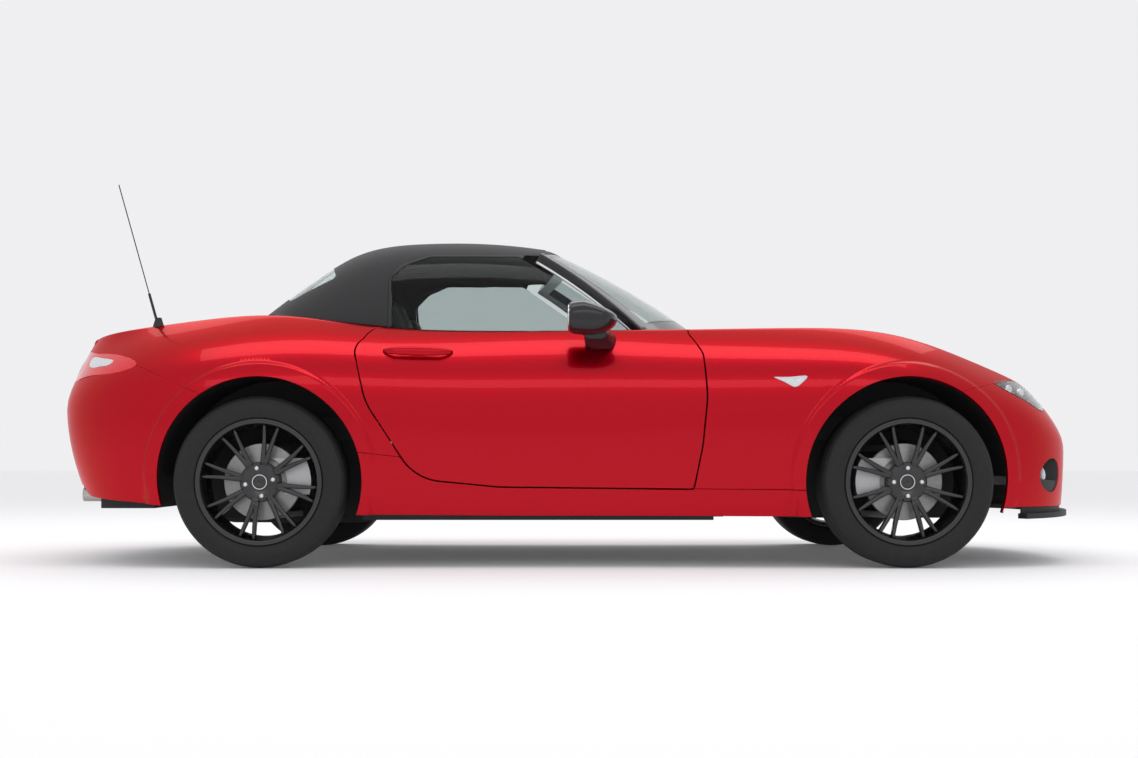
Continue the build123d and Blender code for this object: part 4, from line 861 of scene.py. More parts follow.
s_lid = s_tail - tail_split + 2 * shut_gap
edge_s = np.linspace(s_at(boot_front_x + 150), s_at(boot_front_x - 250), 600)
edge_rows = side(edge_s, v_lid)
s_lid_front = edge_s[np.argmin(np.abs(edge_rows[:, 0] - boot_front_x + shut_gap))]
left = side(np.linspace(s_lid_front, s_lid, 41), v_lid)[:, :2]
y = np.linspace(left[0, 1], -left[0, 1], 61)
lid_s = np.linspace(s_lid, 2 * s_tail - s_lid, 61)
deck = lifted(coons(np.stack([np.full_like(y, boot_front_x - shut_gap), y], -1), side(lid_s, v_lid)[:, :2],
                    left, left * [1, -1]))
lid_low = v_at_height(lid_s, tail_line + shut_gap)
drop = np.linspace(0, 1, 31)[1:, None]
lid_grid = np.concatenate([deck, side(lid_s[None], v_lid + (lid_low[None] - v_lid) * drop)])
grid_panel("boot_lid_skin", lid_grid, paint, "boot_lid", "body_paint", lift=.5, roll=.9, flange=4.0)

t = np.linspace(-1, 1, 31)[None]
u = np.linspace(0, 1, 21)[:, None]
y = t * (524 + 76 * u)
deck_x = boot_front_x + 3 + (bulkhead_x - 20 - boot_front_x - 3) * u + 0 * y
deck_skin = grid_panel("rear_deck_skin", lifted(np.stack([deck_x, y], -1)), paint, "body", "body_paint")
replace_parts(deck_skin, "top_panels")

y = t * 589 + 0 * u
cowl_rear, cowl_front = mid + 380 - 200 * (y / 636)**2, hood_rear(y) + 20
cowl_grid = lifted(np.stack([cowl_rear + (cowl_front - cowl_rear) * u, y], -1))
cowl_grid[..., 2] -= 28 * u
grid_panel("cowl_panel", cowl_grid, plastic, "body", "black_plastic")


# ---- soft top ----
# Black woven acrylic, sewn in one piece round the opening for the rear window. It is stretched over bows
# from the windscreen header to the deck, where its hem is clamped.
fabric = speckled("top_fabric", 1500.0, 0.8, 0.12, ((0.011, 0.011, 0.012), (0.022, 0.022, 0.024)),
                  (0.0004, 0.5), detail=1.0, Sheen_Weight=0.08, Sheen_Roughness=0.5)
BOWS = [         # at the body x, y, z; shoulder x, y, z; middle x, z
    (mid + 215, 652, 856, mid - 215, 560, 1222, mid - 95, 1217),
    (mid + 20, 655, 856, mid - 330, 562, 1238, mid - 250, 1235),
    (mid - 190, 655, 857, mid - 470, 562, 1246, mid - 440, 1245),
    (mid - 400, 655, 860, mid - 610, 562, 1243, mid - 620, 1243),
    (mid - 580, 655, 864, mid - 730, 562, 1230, mid - 770, 1232),
    (mid - 740, 650, 878, mid - 860, 555, 1190, mid - 900, 1197),
    (mid - 890, 634, 895, mid - 985, 535, 1115, mid - 1030, 1120),
    (mid - 1030, 594, 914, mid - 1110, 480, 1025, mid - 1165, 1030),
    (mid - 1150, 500, 932, mid - 1210, 380, 952, mid - 1290, 946),
]
SIDE_GLASS = [   # x, z, corner radius
    (mid - 700, door_ledge + .3, 0), (mid - 710, 1066, 25), (mid - 655, 1116, 60), (mid - 570, 1150, 60),
    (mid - 238, 1150, 25), (mid - 33, 1016, 900), (mid + 205, door_ledge + .3, 0),
]
WINDOW_EDGE = [  # x, z, corner radius
    (mid - 716, 868, 0), (mid - 719, 1060, 40), (mid - 682, 1118, 60), (mid - 560, 1161, 60),
    (mid - 205, 1160, 0), (mid - 190, 1160, 0),
]
bow_rows = np.array(BOWS, float)
bow_u = np.linspace(0, 1, len(BOWS))
bow_slopes = natural(bow_u, bow_rows)


def roof(u, t):
    """Fabric top: each bow is a cubic curve from the body over its shoulder to the middle, splined along
    u from the header to the deck; t is 0 at the middle and 1 or -1 at the body."""
    u, t = np.broadcast_arrays(np.asarray(u, float), np.asarray(t, float))
    c = [along(bow_u, bow_rows[:, k], bow_slopes[:, k], u) for k in range(8)]
    base, corner = np.stack(c[:3], -1), np.stack(c[3:6], -1)
    middle = np.stack([c[6], 0 * c[6], c[7]], -1)
    a = (1 - np.abs(t))[..., None]
    side_pull, top_pull = .12 * base + .88 * corner, .2 * middle + .8 * corner
    p = (1 - a)**3 * base + 3 * (1 - a)**2 * a * side_pull + 3 * (1 - a) * a**2 * top_pull + a**3 * middle
    p[..., 1] *= np.sign(t)
    return p


def on_roof(x, z):
    """(u, t) of side-view points on the left half of the top: nearest of a grid, then Newton steps."""
    u, t = np.meshgrid(np.linspace(0, .9, 60), np.linspace(.3, 1, 60), indexing="ij")
    grid = roof(u, t)
    k = np.array([np.argmin((grid[..., 0] - a)**2 + (grid[..., 2] - b)**2) for a, b in zip(x, z)])
    u, t = u.ravel()[k], t.ravel()[k]
    for _ in range(10):
        p = roof(u, t)
        pu, pt = (roof(u + .001, t) - p) / .001, (roof(u, t + .001) - p) / .001
        det = pu[:, 0] * pt[:, 2] - pu[:, 2] * pt[:, 0]
        ex, ez = x - p[:, 0], z - p[:, 2]
        u = np.clip(u + np.clip((ex * pt[:, 2] - ez * pt[:, 0]) / det, -.1, .1), 0, 1)
        t = np.clip(t + np.clip((ez * pu[:, 0] - ex * pu[:, 2]) / det, -.1, .1), .2, 1)
    return np.stack([u, t], -1)


roof_chart = np.array([1500.0, 800.0])          # millimetres of chart along u and t


window_path = rounded(WINDOW_EDGE)
window_chart = on_roof(*even(cut(window_path, 0, mid - 192, False), 6).T)
front_t = np.linspace(0, 1, 400)
front_t = front_t[np.argmin(np.abs(roof(0 * front_t, front_t)[:, 2] - 1160) + (front_t < .4) * 1000)]
half_top = np.vstack([
    np.linspace((0, 0), (0, front_t), 40),
    np.linspace((0, front_t), window_chart[-1], 12)[1:-1],
    window_chart[::-1],
    np.linspace((window_chart[0, 0], 1), (1, 1), 60)[1:],
    np.linspace((1, 1), (1, 0), 60)[1:],
]) * roof_chart
top_loop = np.vstack([even(half_top, 9), (even(half_top, 9)[::-1] * [1, -1])[1:-1]])
u0, u1, t1 = .712 * roof_chart[0], .888 * roof_chart[0], .6 * roof_chart[1]
pane_rows = [(u0, 0, 0), (u0, t1, 30), (u1, t1, 30), (u1, -t1, 30), (u0, -t1, 30), (u0, 0, 0)]
pane_loop = even(rounded(pane_rows), 9)[:-1]
step = 30.0
columns, rows = (np.arange(*span, step) for span in zip(top_loop.min(0) + step / 3, top_loop.max(0)))
chart, faces, rings = filled([top_loop, pane_loop], columns, rows, step * .42)
canopy = pressed("canopy", lambda c: roof(*(c / roof_chart).T), chart, faces, rings, fabric, "body", "fabric",
                 roll=1.6, flange=3.0, wall=3.0)
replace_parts(canopy, "soft_top")


# ---- wheels ----
# Cast alloy wheels painted black, with eight pairs of spokes, four bright nuts round a bare cap, and iron
# brake discs behind them. Black rubber tyres with four grooves sit on their rims.
tyre_radius, tyre_width = 307.0, 205.0
rim_radius, rim_width, rim_flange = 216.0, 190.0, 10.0
wheel_face = 55.0               # mounting face outboard of the rim's middle
hub_radius, lug_circle = 72.0, 100.0
spoke_pairs, spoke_spread = 8, 14.5
track_front, track_rear = 1495.0, 1505.0


def lathe(rows, count=144):
    """Closed ring round the Y axis: point = (radius sin a, y, radius cos a) over rows of y and radius."""
    rows = np.array(rows, float)
    a = full_turn(count)
    points = np.stack([rows[:, None, 1] * np.sin(a), np.broadcast_to(rows[:, None, 0], (len(rows), count)),
                       rows[:, None, 1] * np.cos(a)], -1)
    return points.reshape(-1, 3), quads(len(rows), count, wrap=True)


def merged(*meshes):
    """Several (points, faces) as one."""
    points, faces, start = [], [], 0
    for p, f in meshes:
        points.append(p.reshape(-1, 3))
        faces += [[int(i) + start for i in row] for row in f]
        start += points[-1].shape[0]
    return np.vstack(points), faces


def rounded_profile(rows, step=2.5, face=0.0):
    """Closed lathe profile of (y from a face, radius, corner radius) as rows of y and radius."""
    rows = [(face + y, radius, corner) for y, radius, corner in rows]
    middle = tuple((np.array(rows[0][:2]) + np.array(rows[-1][:2])) / 2) + (0,)
    return rounded([middle] + rows + [middle], step)


def capped(n, m):
    """Faces round n rings of m points, with a cap on each end."""
    return quads(n, m, wrap=True).tolist() + [list(range(m))[::-1], list(range((n - 1) * m, n * m))]


def bar(sections):
    """Bar through rings of points, capped at both ends."""
    sections = np.array(sections)
    return sections, capped(*sections.shape[:2])


def spoke(root_angle, tip_angle):
    """Tapered spoke from hub to rim with chamfered face edges."""
    rings = []
    for f in np.linspace(0, 1, 7):
        radius = hub_radius - 12 + f * (rim_radius - 5 - hub_radius + 12)
        a = math.radians(root_angle + (tip_angle - root_angle) * f**1.15)
        width = 19 - 7.5 * f
        face = wheel_face + 14 + f * 18 - 8 * f * (1 - f)
        back = wheel_face - 4 + f * 8
        half, c = width / 2, 3.2
        shape = [(-half, back), (-half, face - c), (-half + c, face),
                 (half - c, face), (half, face - c), (half, back)]
        out, side_way = np.array([math.sin(a), 0, math.cos(a)]), np.array([math.cos(a), 0, -math.sin(a)])
        rings.append([out * radius + side_way * w + np.array([0, y, 0]) for w, y in shape])
    return bar(rings)


def nut(angle):
    """Six-sided domed wheel nut."""
    a = math.radians(angle)
    middle = np.array([math.sin(a), 0, math.cos(a)]) * lug_circle / 2
    turn = full_turn(6)
    rings = [np.stack([r * np.sin(turn), np.full(6, wheel_face + y), r * np.cos(turn)], 1) + middle
             for r, y in ((9.5, 8), (9.5, 22), (7, 27), (3, 28))]
    return bar(rings)


def turned(mesh, angle):
    """A wheel's mesh turned about its axle, in degrees."""
    p, f = mesh
    a = math.radians(angle)
    x, z = p[..., 0], p[..., 2]
    return np.stack([x * math.cos(a) + z * math.sin(a), p[..., 1], z * math.cos(a) - x * math.sin(a)], -1), f


def set_wheel(name, mesh, finish, end, hand, slot):
    """A wheel piece in its place on the car; the right one is a mirror image."""
    x, track = (front_axle, track_front) if end == "front" else (rear_axle, track_rear)
    sign = -1 if hand == "right" else 1
    points = mesh[0] * [1, sign, 1] + [x, sign * track / 2, tyre_radius]
    faces = [row[::-1] for row in mesh[1]] if sign < 0 else mesh[1]
    return make(f"{name}_{end}_{hand}", points, faces, finish, f"wheel_{end}_{hand}", slot)


half = rim_width / 2
rim_rows = rounded_profile([
    (-half, rim_radius + rim_flange, 3), (-half, rim_radius - 6, 4), (-half + 44, 196, 12),
    (half - 60, 196, 12), (half - 34, rim_radius - 13, 12), (half - 1, rim_radius - 7, 4),
    (half, rim_radius + rim_flange, 3.5), (half - 8, rim_radius + rim_flange, 2), (half - 8, rim_radius, 4),
    (half - 34, rim_radius, 8), (half - 58, 205, 8), (-half + 46, 205, 8), (-half + 34, rim_radius, 6),
    (-half + 8, rim_radius, 3), (-half + 8, rim_radius + rim_flange, 2),
])
hub_rows = rounded_profile([(-6, 27, 1), (-6, hub_radius, 3), (8, hub_radius, 5), (15, hub_radius - 12, 8),
                            (9, 34, 5), (9, 27, 1)], face=wheel_face)
spokes = [spoke(360 / spoke_pairs * (k + .5) + way * 4, 360 / spoke_pairs * (k + .5) + way * spoke_spread / 2)
          for k in range(spoke_pairs) for way in (-1, 1)]
wheel_mesh = merged(lathe(rim_rows), lathe(hub_rows, 72), *spokes)
cap_rows = [(wheel_face + y, r) for y, r in ((4, .5), (17, .5), (17, 18), (15, 23.4), (4, 23.5))]
ring_rows = rounded_profile([(8, 23.6, .5), (17, 23.6, .8), (17, 27, 1), (8, 27, .5)], 1, wheel_face)
cap_mesh, cap_ring = lathe(cap_rows, 64), lathe(ring_rows, 64)
nuts = merged(*(nut(90 * k) for k in range(4)))
disc_back = wheel_face - 6.3
disc_rows = rounded_profile([
    (0, 30, 1), (0, hub_radius - 2, 3), (-36, hub_radius - 2, 2), (-36, 138, 1.5), (-43, 139, 1),
    (-44, 133, 1), (-51, 133, 1), (-52, 139, 1), (-58, 138, 1.5), (-58, hub_radius - 8, 2),
    (-8, hub_radius - 10, 2), (-8, 30, 1)], face=disc_back)
disc_mesh = lathe(disc_rows, 120)
h, tread = tyre_width / 2, tyre_radius
bead = rim_radius + .5
outer = [(86, bead, 2), (87, rim_radius + rim_flange + 1, 2), (94, rim_radius + 14, 6),
         (h - 1.5, bead + 36, 24), (h, bead + 48, 20), (h - 3, tread - 26, 12), (h - 9, tread - 12, 4),
         (h - 14, tread - 9, 3), (h - 24, tread - 2.5, 8)]
groove = ((4.5, .6, .8), (3.6, 7.6, 1), (-3.6, 7.6, 1), (-4.5, .4, .8))
left_side = outer + [(y + across, tread - down, c) for y in (56, 22) for across, down, c in groove]
right_side = [(-y, r, c) for y, r, c in left_side[::-1]]
inner = [(-78, bead, 1), (-76, bead + 12, 8), (-88, bead + 44, 20), (-62, tread - 14, 16),
         (62, tread - 14, 16), (88, bead + 44, 20), (76, bead + 12, 8), (78, bead, 1)]
tyre_rows = rounded_profile(left_side + right_side + inner, 3)
tyre_mesh = lathe(tyre_rows, 168)

wheel_black = speckled("wheel_black", 50.0, 0.22, 0.08, Base_Color=(0.008, 0.008, 0.009), Coat_Weight=0.5,
                       Coat_Roughness=0.04, Metallic=0.2)
tyre_rubber = speckled("tyre_rubber", 60.0, 0.62, 0.15, ((0.012, 0.012, 0.012), (0.024, 0.023, 0.023)),
                       detail=3.0, Specular_IOR_Level=0.25)
tyre_rubber.set(Normal=tyre_rubber.bump(tyre_rubber.noise(700.0, detail=1.0), 0.0005, 0.5))
disc_iron = speckled("disc_iron", 70.0, 0.34, 0.15, ((0.20, 0.20, 0.20), (0.34, 0.34, 0.34)), Metallic=0.95)
for end, turn_by in (("front", -.2), ("rear", -10.0)):
    for hand, sign in HANDS[::-1]:
        wheel = set_wheel("wheel", turned(wheel_mesh, -sign * turn_by), wheel_black, end, hand, "rim")
        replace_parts(wheel, f"rim_{end}_{hand}")
        set_wheel("wheel_cap", cap_mesh, wheel_black, end, hand, "rim")
        set_wheel("cap_ring", cap_ring, satin_silver, end, hand, "steel")
        set_wheel("wheel_nuts", turned(nuts, -sign * turn_by), satin_silver, end, hand, "steel")
        set_wheel("brake_disc", disc_mesh, disc_iron, end, hand, "steel")
        tyre = set_wheel("tyre_ring", tyre_mesh, tyre_rubber, end, hand, "tyre")
        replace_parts(tyre, f"tyre_{end}_{hand}")


# ---- wheel wells ----
# Inner walls moulded in black plastic, which close the arches inboard of the liners and are screwed to the
# rails.
well_radius, well_y, well_low = 371.0, 440.0, 166.0
x = np.linspace(-370, 370, 61)[:, None]
well_high = arch_height + np.sqrt(np.clip(well_radius**2 - x**2, 0, None)) * .998
z = well_low + (well_high - well_low) * np.linspace(0, 1, 9)
for end, axle in (("front", front_axle), ("rear", rear_axle)):
    for hand, sign in HANDS:
        well = np.stack(np.broadcast_arrays(axle + x, sign * well_y, z), -1)
        grid_panel(f"well_{end}_{hand}", well, plastic, "body", "black_plastic", roll=.8, flange=2.0,
                   wall=2.0, hem=.3)


# ---- lamps ----
# Clear polycarbonate lenses over black housings with round projectors in front; red lenses with a pale oval
# behind; pale side markers. Each lamp is screwed into its opening in the panels.
lens = speckled("clear_lens", 4.0, 0.015, 0.01, Base_Color=(0.92, 0.93, 0.94), Transmission_Weight=1.0,
                IOR=1.25)
red_lens = speckled("red_lens", 30.0, 0.12, 0.06, ((0.50, 0.002, 0.008), (0.75, 0.01, 0.02)), detail=1.0,
                    stretch=(1, 1, 12), Coat_Weight=0.4, Coat_Roughness=0.02, Specular_IOR_Level=0.3)
frost = speckled("pale_lens", 140.0, 0.2, 0.1, ((0.42, 0.44, 0.47), (0.66, 0.68, 0.70)), detail=1.0,
                 Coat_Weight=1.0, Coat_Roughness=0.03)


def bowl(name, loop, sign, depths, finish, ride, slot):
    """Open bowl behind a chart outline: rings shrunk toward its middle at growing depths along the normal."""
    middle = loop.mean(0)
    rings = []
    for shrink, depth in depths:
        c = middle + (loop - middle) * shrink
        p = body(c)
        n = unit(np.cross(body(c + [2, 0]) - p, body(c + [0, 2]) - p))
        n = n * np.sign((n * (p - core)).sum(-1, keepdims=True))
        rings.append((p - n * depth) * [1, sign, 1])
    cells = quads(len(rings), len(loop), turned=sign < 0, wrap=True).tolist()
    cells.append(range((len(rings) - 1) * len(loop), len(rings) * len(loop)))
    make(name, rings, cells, finish, ride, slot)


def ball(centre, radius, squash=(1, 1, 1), n=24):
    """Ball of rings, squashed along the axes."""
    a = np.linspace(0.02, math.pi - .02, n)[:, None]
    b = full_turn(2 * n)
    p = np.stack([np.sin(a) * np.cos(b), np.sin(a) * np.sin(b), np.cos(a) + 0 * b], -1)
    return p * radius * np.array(squash) + centre, capped(n, 2 * n)


tail_rows = TAIL_LAMP[:3] + [(rear_axle - 790, 787), (rear_axle - 790, 684.8)] + TAIL_LAMP[5:]
tail_chart = charted(on_side(*smooth_loop(tail_rows).T))
tail_chart[:, 0] = np.minimum(tail_chart[:, 0], s_tail - tail_split - 2)
OVAL = [(-1772, 763), (-1739, 765), (-1696, 757), (-1660, 744), (-1672, 734), (-1710, 728), (-1753, 725),
        (-1776, 736)]
oval_chart = charted(on_side(*smooth_loop(OVAL).T))
lamp_small = lamp_chart.mean(0) + (lamp_chart - lamp_chart.mean(0)) * .985
for hand, sign in HANDS:
    bowl(f"headlamp_housing_{hand}", lamp_small, sign, ((1, 1), (.97, 14), (.86, 34), (.6, 44), (.3, 46)),
         gloss_black, "body", "gloss_black")
    middle = body(lamp_chart.mean(0)) * [1, sign, 1]
    back, side_way = np.array([-26, -sign * 24, 0]), np.array([-34, sign * 22, 6])
    bulbs = merged(ball(middle + back + side_way * .95, 21), ball(middle + back - side_way * .75, 18))
    make(f"projectors_{hand}", *bulbs, satin_silver, "body", "lamp")
glass = panel("headlamp_lens", [lamp_small], lens, "body", "lamp", step=20, lift=.6, roll=1.0, flange=3,
              wall=2.4, hem=.3)
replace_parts(glass[0], "headlamps")
glass = panel("tail_lens", [tail_chart], red_lens, "body", "lamp_red", step=16, lift=.4, roll=1.2, flange=6,
              wall=3)
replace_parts(glass[0], "tail_lamps")
panel("tail_oval", [oval_chart], frost, "body", "lamp", step=14, lift=2.2, roll=1.6, flange=3, wall=2)
MARKER = [(730, 679), (788, 681), (846, 680), (828, 660), (806, 645), (768, 661)]
marker = charted(on_side(*smooth_loop(MARKER, 4).T))
panel("side_marker", [marker], frost, "body", "lamp", step=12, lift=2.0, roll=1.4, flange=3, wall=2)


# ---- door handles and window seals ----
# Pull handles in the body's paint, fixed to the doors at both ends and standing off between them, and the
# black rubber between the side windows and the fabric.
def tube_along(path, radii, turn_steps=14):
    """Closed tube along a path with half height and half depth at each point, capped at its ends."""
    way = unit(np.gradient(path, axis=0))
    over = unit(np.cross(way, np.cross([0, 0, 1.0], way)))
    out = unit(np.cross(over, way))
    a = full_turn(turn_steps)
    rings = (path[:, None] + over[:, None] * (np.cos(a) * radii[:, :1])[..., None]
             + out[:, None] * (np.sin(a) * radii[:, 1:])[..., None])
    return bar(rings)


for hand, sign in HANDS:
    f = np.linspace(0, 1, 30)
    x = -664 + 246 * f
    on = on_side(x, 776 - 4 * f)
    p = side(on[:, 0], on[:, 1])
    stand = 4 + 22 * np.clip(np.minimum(f, 1 - f) * 6, 0, 1)**.7
    swell = np.sin(math.pi * (f * .98 + .01))
    size = np.stack([3 + 13 * swell**.4, 2 + 6 * swell**.5], 1)
    path = (p + np.stack([0 * f, stand, 0 * f], 1)) * [1, sign, 1]
    make(f"door_handle_{hand}", *tube_along(path, size), paint, f"door_{hand}", "body_paint")

outer_path = even(cut(window_path, 0, mid - 215, False), 6)
inner_path = even(cut(cut(rounded(SIDE_GLASS), 0, mid - 225, False), 1, 862, True), 6)
pick = np.linspace(0, len(inner_path) - 1, len(outer_path))
inner_even = np.stack([np.interp(pick, np.arange(len(inner_path)), inner_path[:, k]) for k in (0, 1)], 1)
a, b = on_roof(*outer_path.T), on_roof(*inner_even.T)
rows = np.stack([a + (b - a) * k for k in np.linspace(0, 1, 5)])
seal_rows = roof(rows[..., 0], rows[..., 1])
seal_rows[1:-1, :, 1] += 3.0
for hand, sign in HANDS:
    grid_panel(f"window_seal_{hand}", seal_rows * [1, sign, 1], rubber, "body", "black_plastic", roll=.8,
               flange=5, wall=3, hem=.3)


# ---- seats ----
# Black leather sewn over moulded foam: for each of two people a cushion, a back with raised bolsters and a
# head rest, on a black base bolted to the floor.
leather = speckled("black_leather", 260.0, 0.42, 0.2, ((0.016, 0.016, 0.017), (0.032, 0.031, 0.031)),
                   (0.0012, 0.45), detail=4.0, grit=0.6, Coat_Weight=0.15, Coat_Roughness=0.4)


def signed(c, power):
    """The size of c raised to a power, with c's sign."""
    return np.sign(c) * np.abs(c)**power


def pad(origin, along_way, up_way, length, width, depth, bolster, waist=0.0, n=56, m=72):
    """Crowned closed pad. Its section is a superellipse; the sides pull in at the waist, two channels sink
    along the bolsters and cross seams dip every sixth of the length."""
    f = np.linspace(0, 1, n)[:, None]
    a = full_turn(m)[None]
    end = np.clip(1 - np.abs(2 * f - 1)**7, 0, 1)**.5
    c, s = np.cos(a), np.sin(a)
    side_part = signed(c, .42) * width / 2 * (1 - waist * np.sin(math.pi * f)) * (.72 + .28 * end)
    offset = np.abs(side_part / (width / 2))
    bolsters = bolster * np.exp(-((offset - .80) / .16)**2)
    channels = 9 * np.exp(-((offset - .56) / .045)**2)
    seams = 5 * np.exp(-(((f * 6) % 1 - .5) / .09)**2) * (f > .12) * (f < .9)
    seams = seams * np.clip((.52 - offset) / .1, 0, 1)
    upper = np.clip(s, 0, 1)**.5 * (bolsters - channels - seams + 10 * np.cos(offset * 1.5))
    up_part = (signed(s, .55) * depth / 2 + upper) * end
    along_way, up_way = unit(np.array(along_way, float)), unit(np.array(up_way, float))
    side_way = np.cross(along_way, up_way)
    p = (np.array(origin) + along_way * (f * length + 0 * a)[..., None] + up_way * up_part[..., None]
         + side_way * side_part[..., None])
    return p, capped(n, m)


lean = math.radians(22)
back_way, back_up = (-math.sin(lean), 0, math.cos(lean)), (math.cos(lean), 0, math.sin(lean))
seat_y = 350.0
for hand, sign in HANDS:
    y = sign * seat_y
    foot = np.array([mid - 480, y, 345])
    neck = foot + np.array(back_way) * 505
    pads = {"seat_cushion": pad((mid - 545, y, 296), (1, 0, .05), (-.05, 0, 1), 505, 420, 106, 20),
            "seat_back": pad(foot, back_way, back_up, 520, 450, 92, 26, .06),
            "head_rest": pad(neck, back_way, back_up, 180, 236, 76, 4, .03, 30, 48)}
    cushion, upright, head = (make(f"{name}_{hand}", *mesh, leather, "body", "leather")
                              for name, mesh in pads.items())
    if hand == "right":
        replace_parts(cushion, "seats")
    x, z = mid - np.array([540.0, 80, 80, 540]), np.array([240.0, 240, 186, 186])
    frame_rings = [np.stack([x, np.full(4, y + w), z], 1) for w in (-170.0, 170.0)]
    make(f"seat_frame_{hand}", *bar(frame_rings), plastic, "body", "black_plastic", smooth=False)


# ---- steering wheel ----
# A ring wrapped in black leather on a cast frame of three spokes, with a plain padded boss in the middle.
# It is bolted to the end of the column.
def torus(centre, axis, ring_radius, tube_radius, n=72, m=18):
    """Ring of a round tube: at each turn round the axis, a small circle across the ring."""
    a, b = full_turn(n)[:, None], full_turn(m)[None]
    axis = unit(np.array(axis, float))
    first = unit(np.cross(axis, [0, 1, 0]))
    second = np.cross(axis, first)
    r = ring_radius + tube_radius * np.cos(b)
    p = (np.array(centre) + first * (r * np.cos(a))[..., None] + second * (r * np.sin(a))[..., None]
         + axis * (tube_radius * np.sin(b))[..., None])
    j, k = np.arange(n)[:, None], np.arange(m)[None]
    on, up = (j + 1) % n, (k + 1) % m
    return p, np.stack([j * m + k, on * m + k, on * m + up, j * m + up], -1).reshape(-1, 4)


rake = math.radians(18)
wheel_middle = np.array([mid + 178, 350.0, 690.0])
wheel_way = np.array([-math.cos(rake), 0, math.sin(rake)])
wheel_up = np.array([math.sin(rake), 0, math.cos(rake)])
grip = make("steering_ring", *torus(wheel_middle, wheel_way, 178, 15), leather, "steering_wheel", "leather")
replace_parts(grip, "steering_wheel")
arms = []
for way in (np.array([0, 1.0, 0]), np.array([0, -1.0, 0]), -wheel_up):
    f = np.linspace(.12, 1, 14)[:, None]
    path = wheel_middle + way * 170 * f - wheel_way * 8 * (1 - f)
    arms.append(tube_along(path, np.hstack([17 - 6 * f, 7 + 0 * f])))
make("steering_spokes", *merged(*arms), gloss_black, "steering_wheel", "gloss_black")
make("steering_boss", *ball(wheel_middle, 58, (.55, 1, .9)), leather, "steering_wheel", "leather")


# ---- mirrors ----
# Gloss black moulded shells on short feet screwed to the doors, with a flat pane of silvered glass in the
# back of each.
mirror_x, mirror_y, mirror_z = mid + 30.0, 850.0, 890.0
mirror_glass = speckled("mirror_glass", 3.0, 0.02, 0.01, Metallic=1.0, Base_Color=(0.8, 0.82, 0.83))
a, b = np.linspace(.01, math.pi - .01, 34)[:, None], full_turn(56)[None]
x = 88 * np.sin(a)**.62 * (1 - .08 * np.cos(a)) * signed(np.cos(b), .85) * np.where(np.cos(b) < 0, 1.7, 1)
z = 62 * np.sin(a)**.62 * (1 + .05 * np.cos(a)) * signed(np.sin(b), .8)
z = z - .34 * np.clip(x + 30, 0, None) * (z > 0) * z / 62 + .12 * np.clip(x, 0, None) * (z < 0) * -z / 62
x = np.where(x < -80, -80 + (x + 80) * .08, x)
shell = np.stack([mirror_x + x, mirror_y + 90 * np.cos(a) + 3 + 0 * b, mirror_z + z], -1)
turn = full_turn(40)
c, s = np.cos(turn), np.sin(turn)
face = [np.stack([np.full(40, mirror_x - 85 - d), mirror_y + 4 + 72 * r * c, mirror_z + 47 * r * s], 1)
        for r, d in ((.98, -3), (1, 0), (.97, 1.6), (.05, 1.8))]
foot = [np.stack([mirror_x + 34 - 26 * f + (56 - 16 * f) * signed(c, .6), 735 + 112 * f + 0 * c,
                  812 + 30 * f**1.6 + (36 - 13 * f) * signed(s, .6)], 1) for f in np.linspace(0, 1, 12)]
for hand, sign in HANDS:
    flip = np.array([1, sign, 1])
    head = make(f"mirror_shell_{hand}", shell * flip, [row[::-sign] for row in capped(34, 56)], gloss_black,
                f"door_{hand}", "gloss_black")
    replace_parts(head, f"mirror_{hand}")
    make(f"mirror_glass_{hand}", *bar(face * flip), mirror_glass, f"door_{hand}", "glass")
    make(f"mirror_foot_{hand}", *bar(foot * flip), gloss_black, f"door_{hand}", "gloss_black")


# ---- nose and tail details ----
# Pockets moulded in black plastic with round fog lamps in them, the closed duct clipped in behind the mouth,
# and two bright steel tips welded to the exhaust.
def skirt(name, path, sign, depth):
    """Wall from an outline on the nose back along x, closed by a flat end."""
    p = body(charted(on_nose(*path.T))) * [1, sign, 1]
    rings = [p - [2 + depth * f, 0, 0] for f in np.linspace(0, 1, 6)]
    rings.append(np.stack([np.full(len(p), rings[-1][:, 0].min()), p[:, 1], p[:, 2]], 1))
    cells = quads(7, len(p), turned=sign > 0, wrap=True).tolist()
    cells.append(range(6 * len(p), 7 * len(p))[::-sign])
    make(name, rings, cells, plastic, "body", "black_plastic")


for hand, sign in HANDS:
    skirt(f"pocket_{hand}", pocket_path, sign, 46)
    middle = body(charted(on_nose(np.array([pocket_y]), np.array([pocket_z]))))[0] * [1, sign, 1]
    make(f"fog_lamp_{hand}", *ball(middle - [44, 0, 0], 32, (.55, 1, 1)), frost, "body", "lamp")
skirt("mouth_duct", mouth_path, 1, 110)

tip_rows = [(0, 23, .5), (0, 26, 1.2), (205, 26, 1), (205, 22, 1), (60, 22, 1), (2, 22.6, .6)]
tip, cells = lathe(rounded_profile(tip_rows, 2), 64)
for k, y in enumerate((-455.0, -525.0)):
    place = np.array([rear_axle - 713, y, 257])
    make(f"exhaust_tip_{k}", tip[:, [1, 0, 2]] + place, cells[:, ::-1], steel, "body", "steel")


# ---- screen pillars ----
# Gloss black moulded covers clipped over the sides of the windscreen frame, each with a bright metal strip
# along its door edge, and the rubber seal between the header and the fabric.
def screen(t, w):
    """Windscreen's outer face, t from -1 to 1 across and w from 0 at the cowl to 1 at the header."""
    t, w = np.broadcast_arrays(np.asarray(t, float), np.asarray(w, float))
    low = np.stack([mid + 420 - 200 * t**2, 636 * t, 924 - 58 * t**2], -1)
    high = np.stack([mid - 82 - 75 * t**2, 530 * t, 1203 - 43 * t**2], -1)
    return low + (high - low) * w[..., None] + (4 * w * (1 - w))[..., None] * np.array([7, 0, 12])


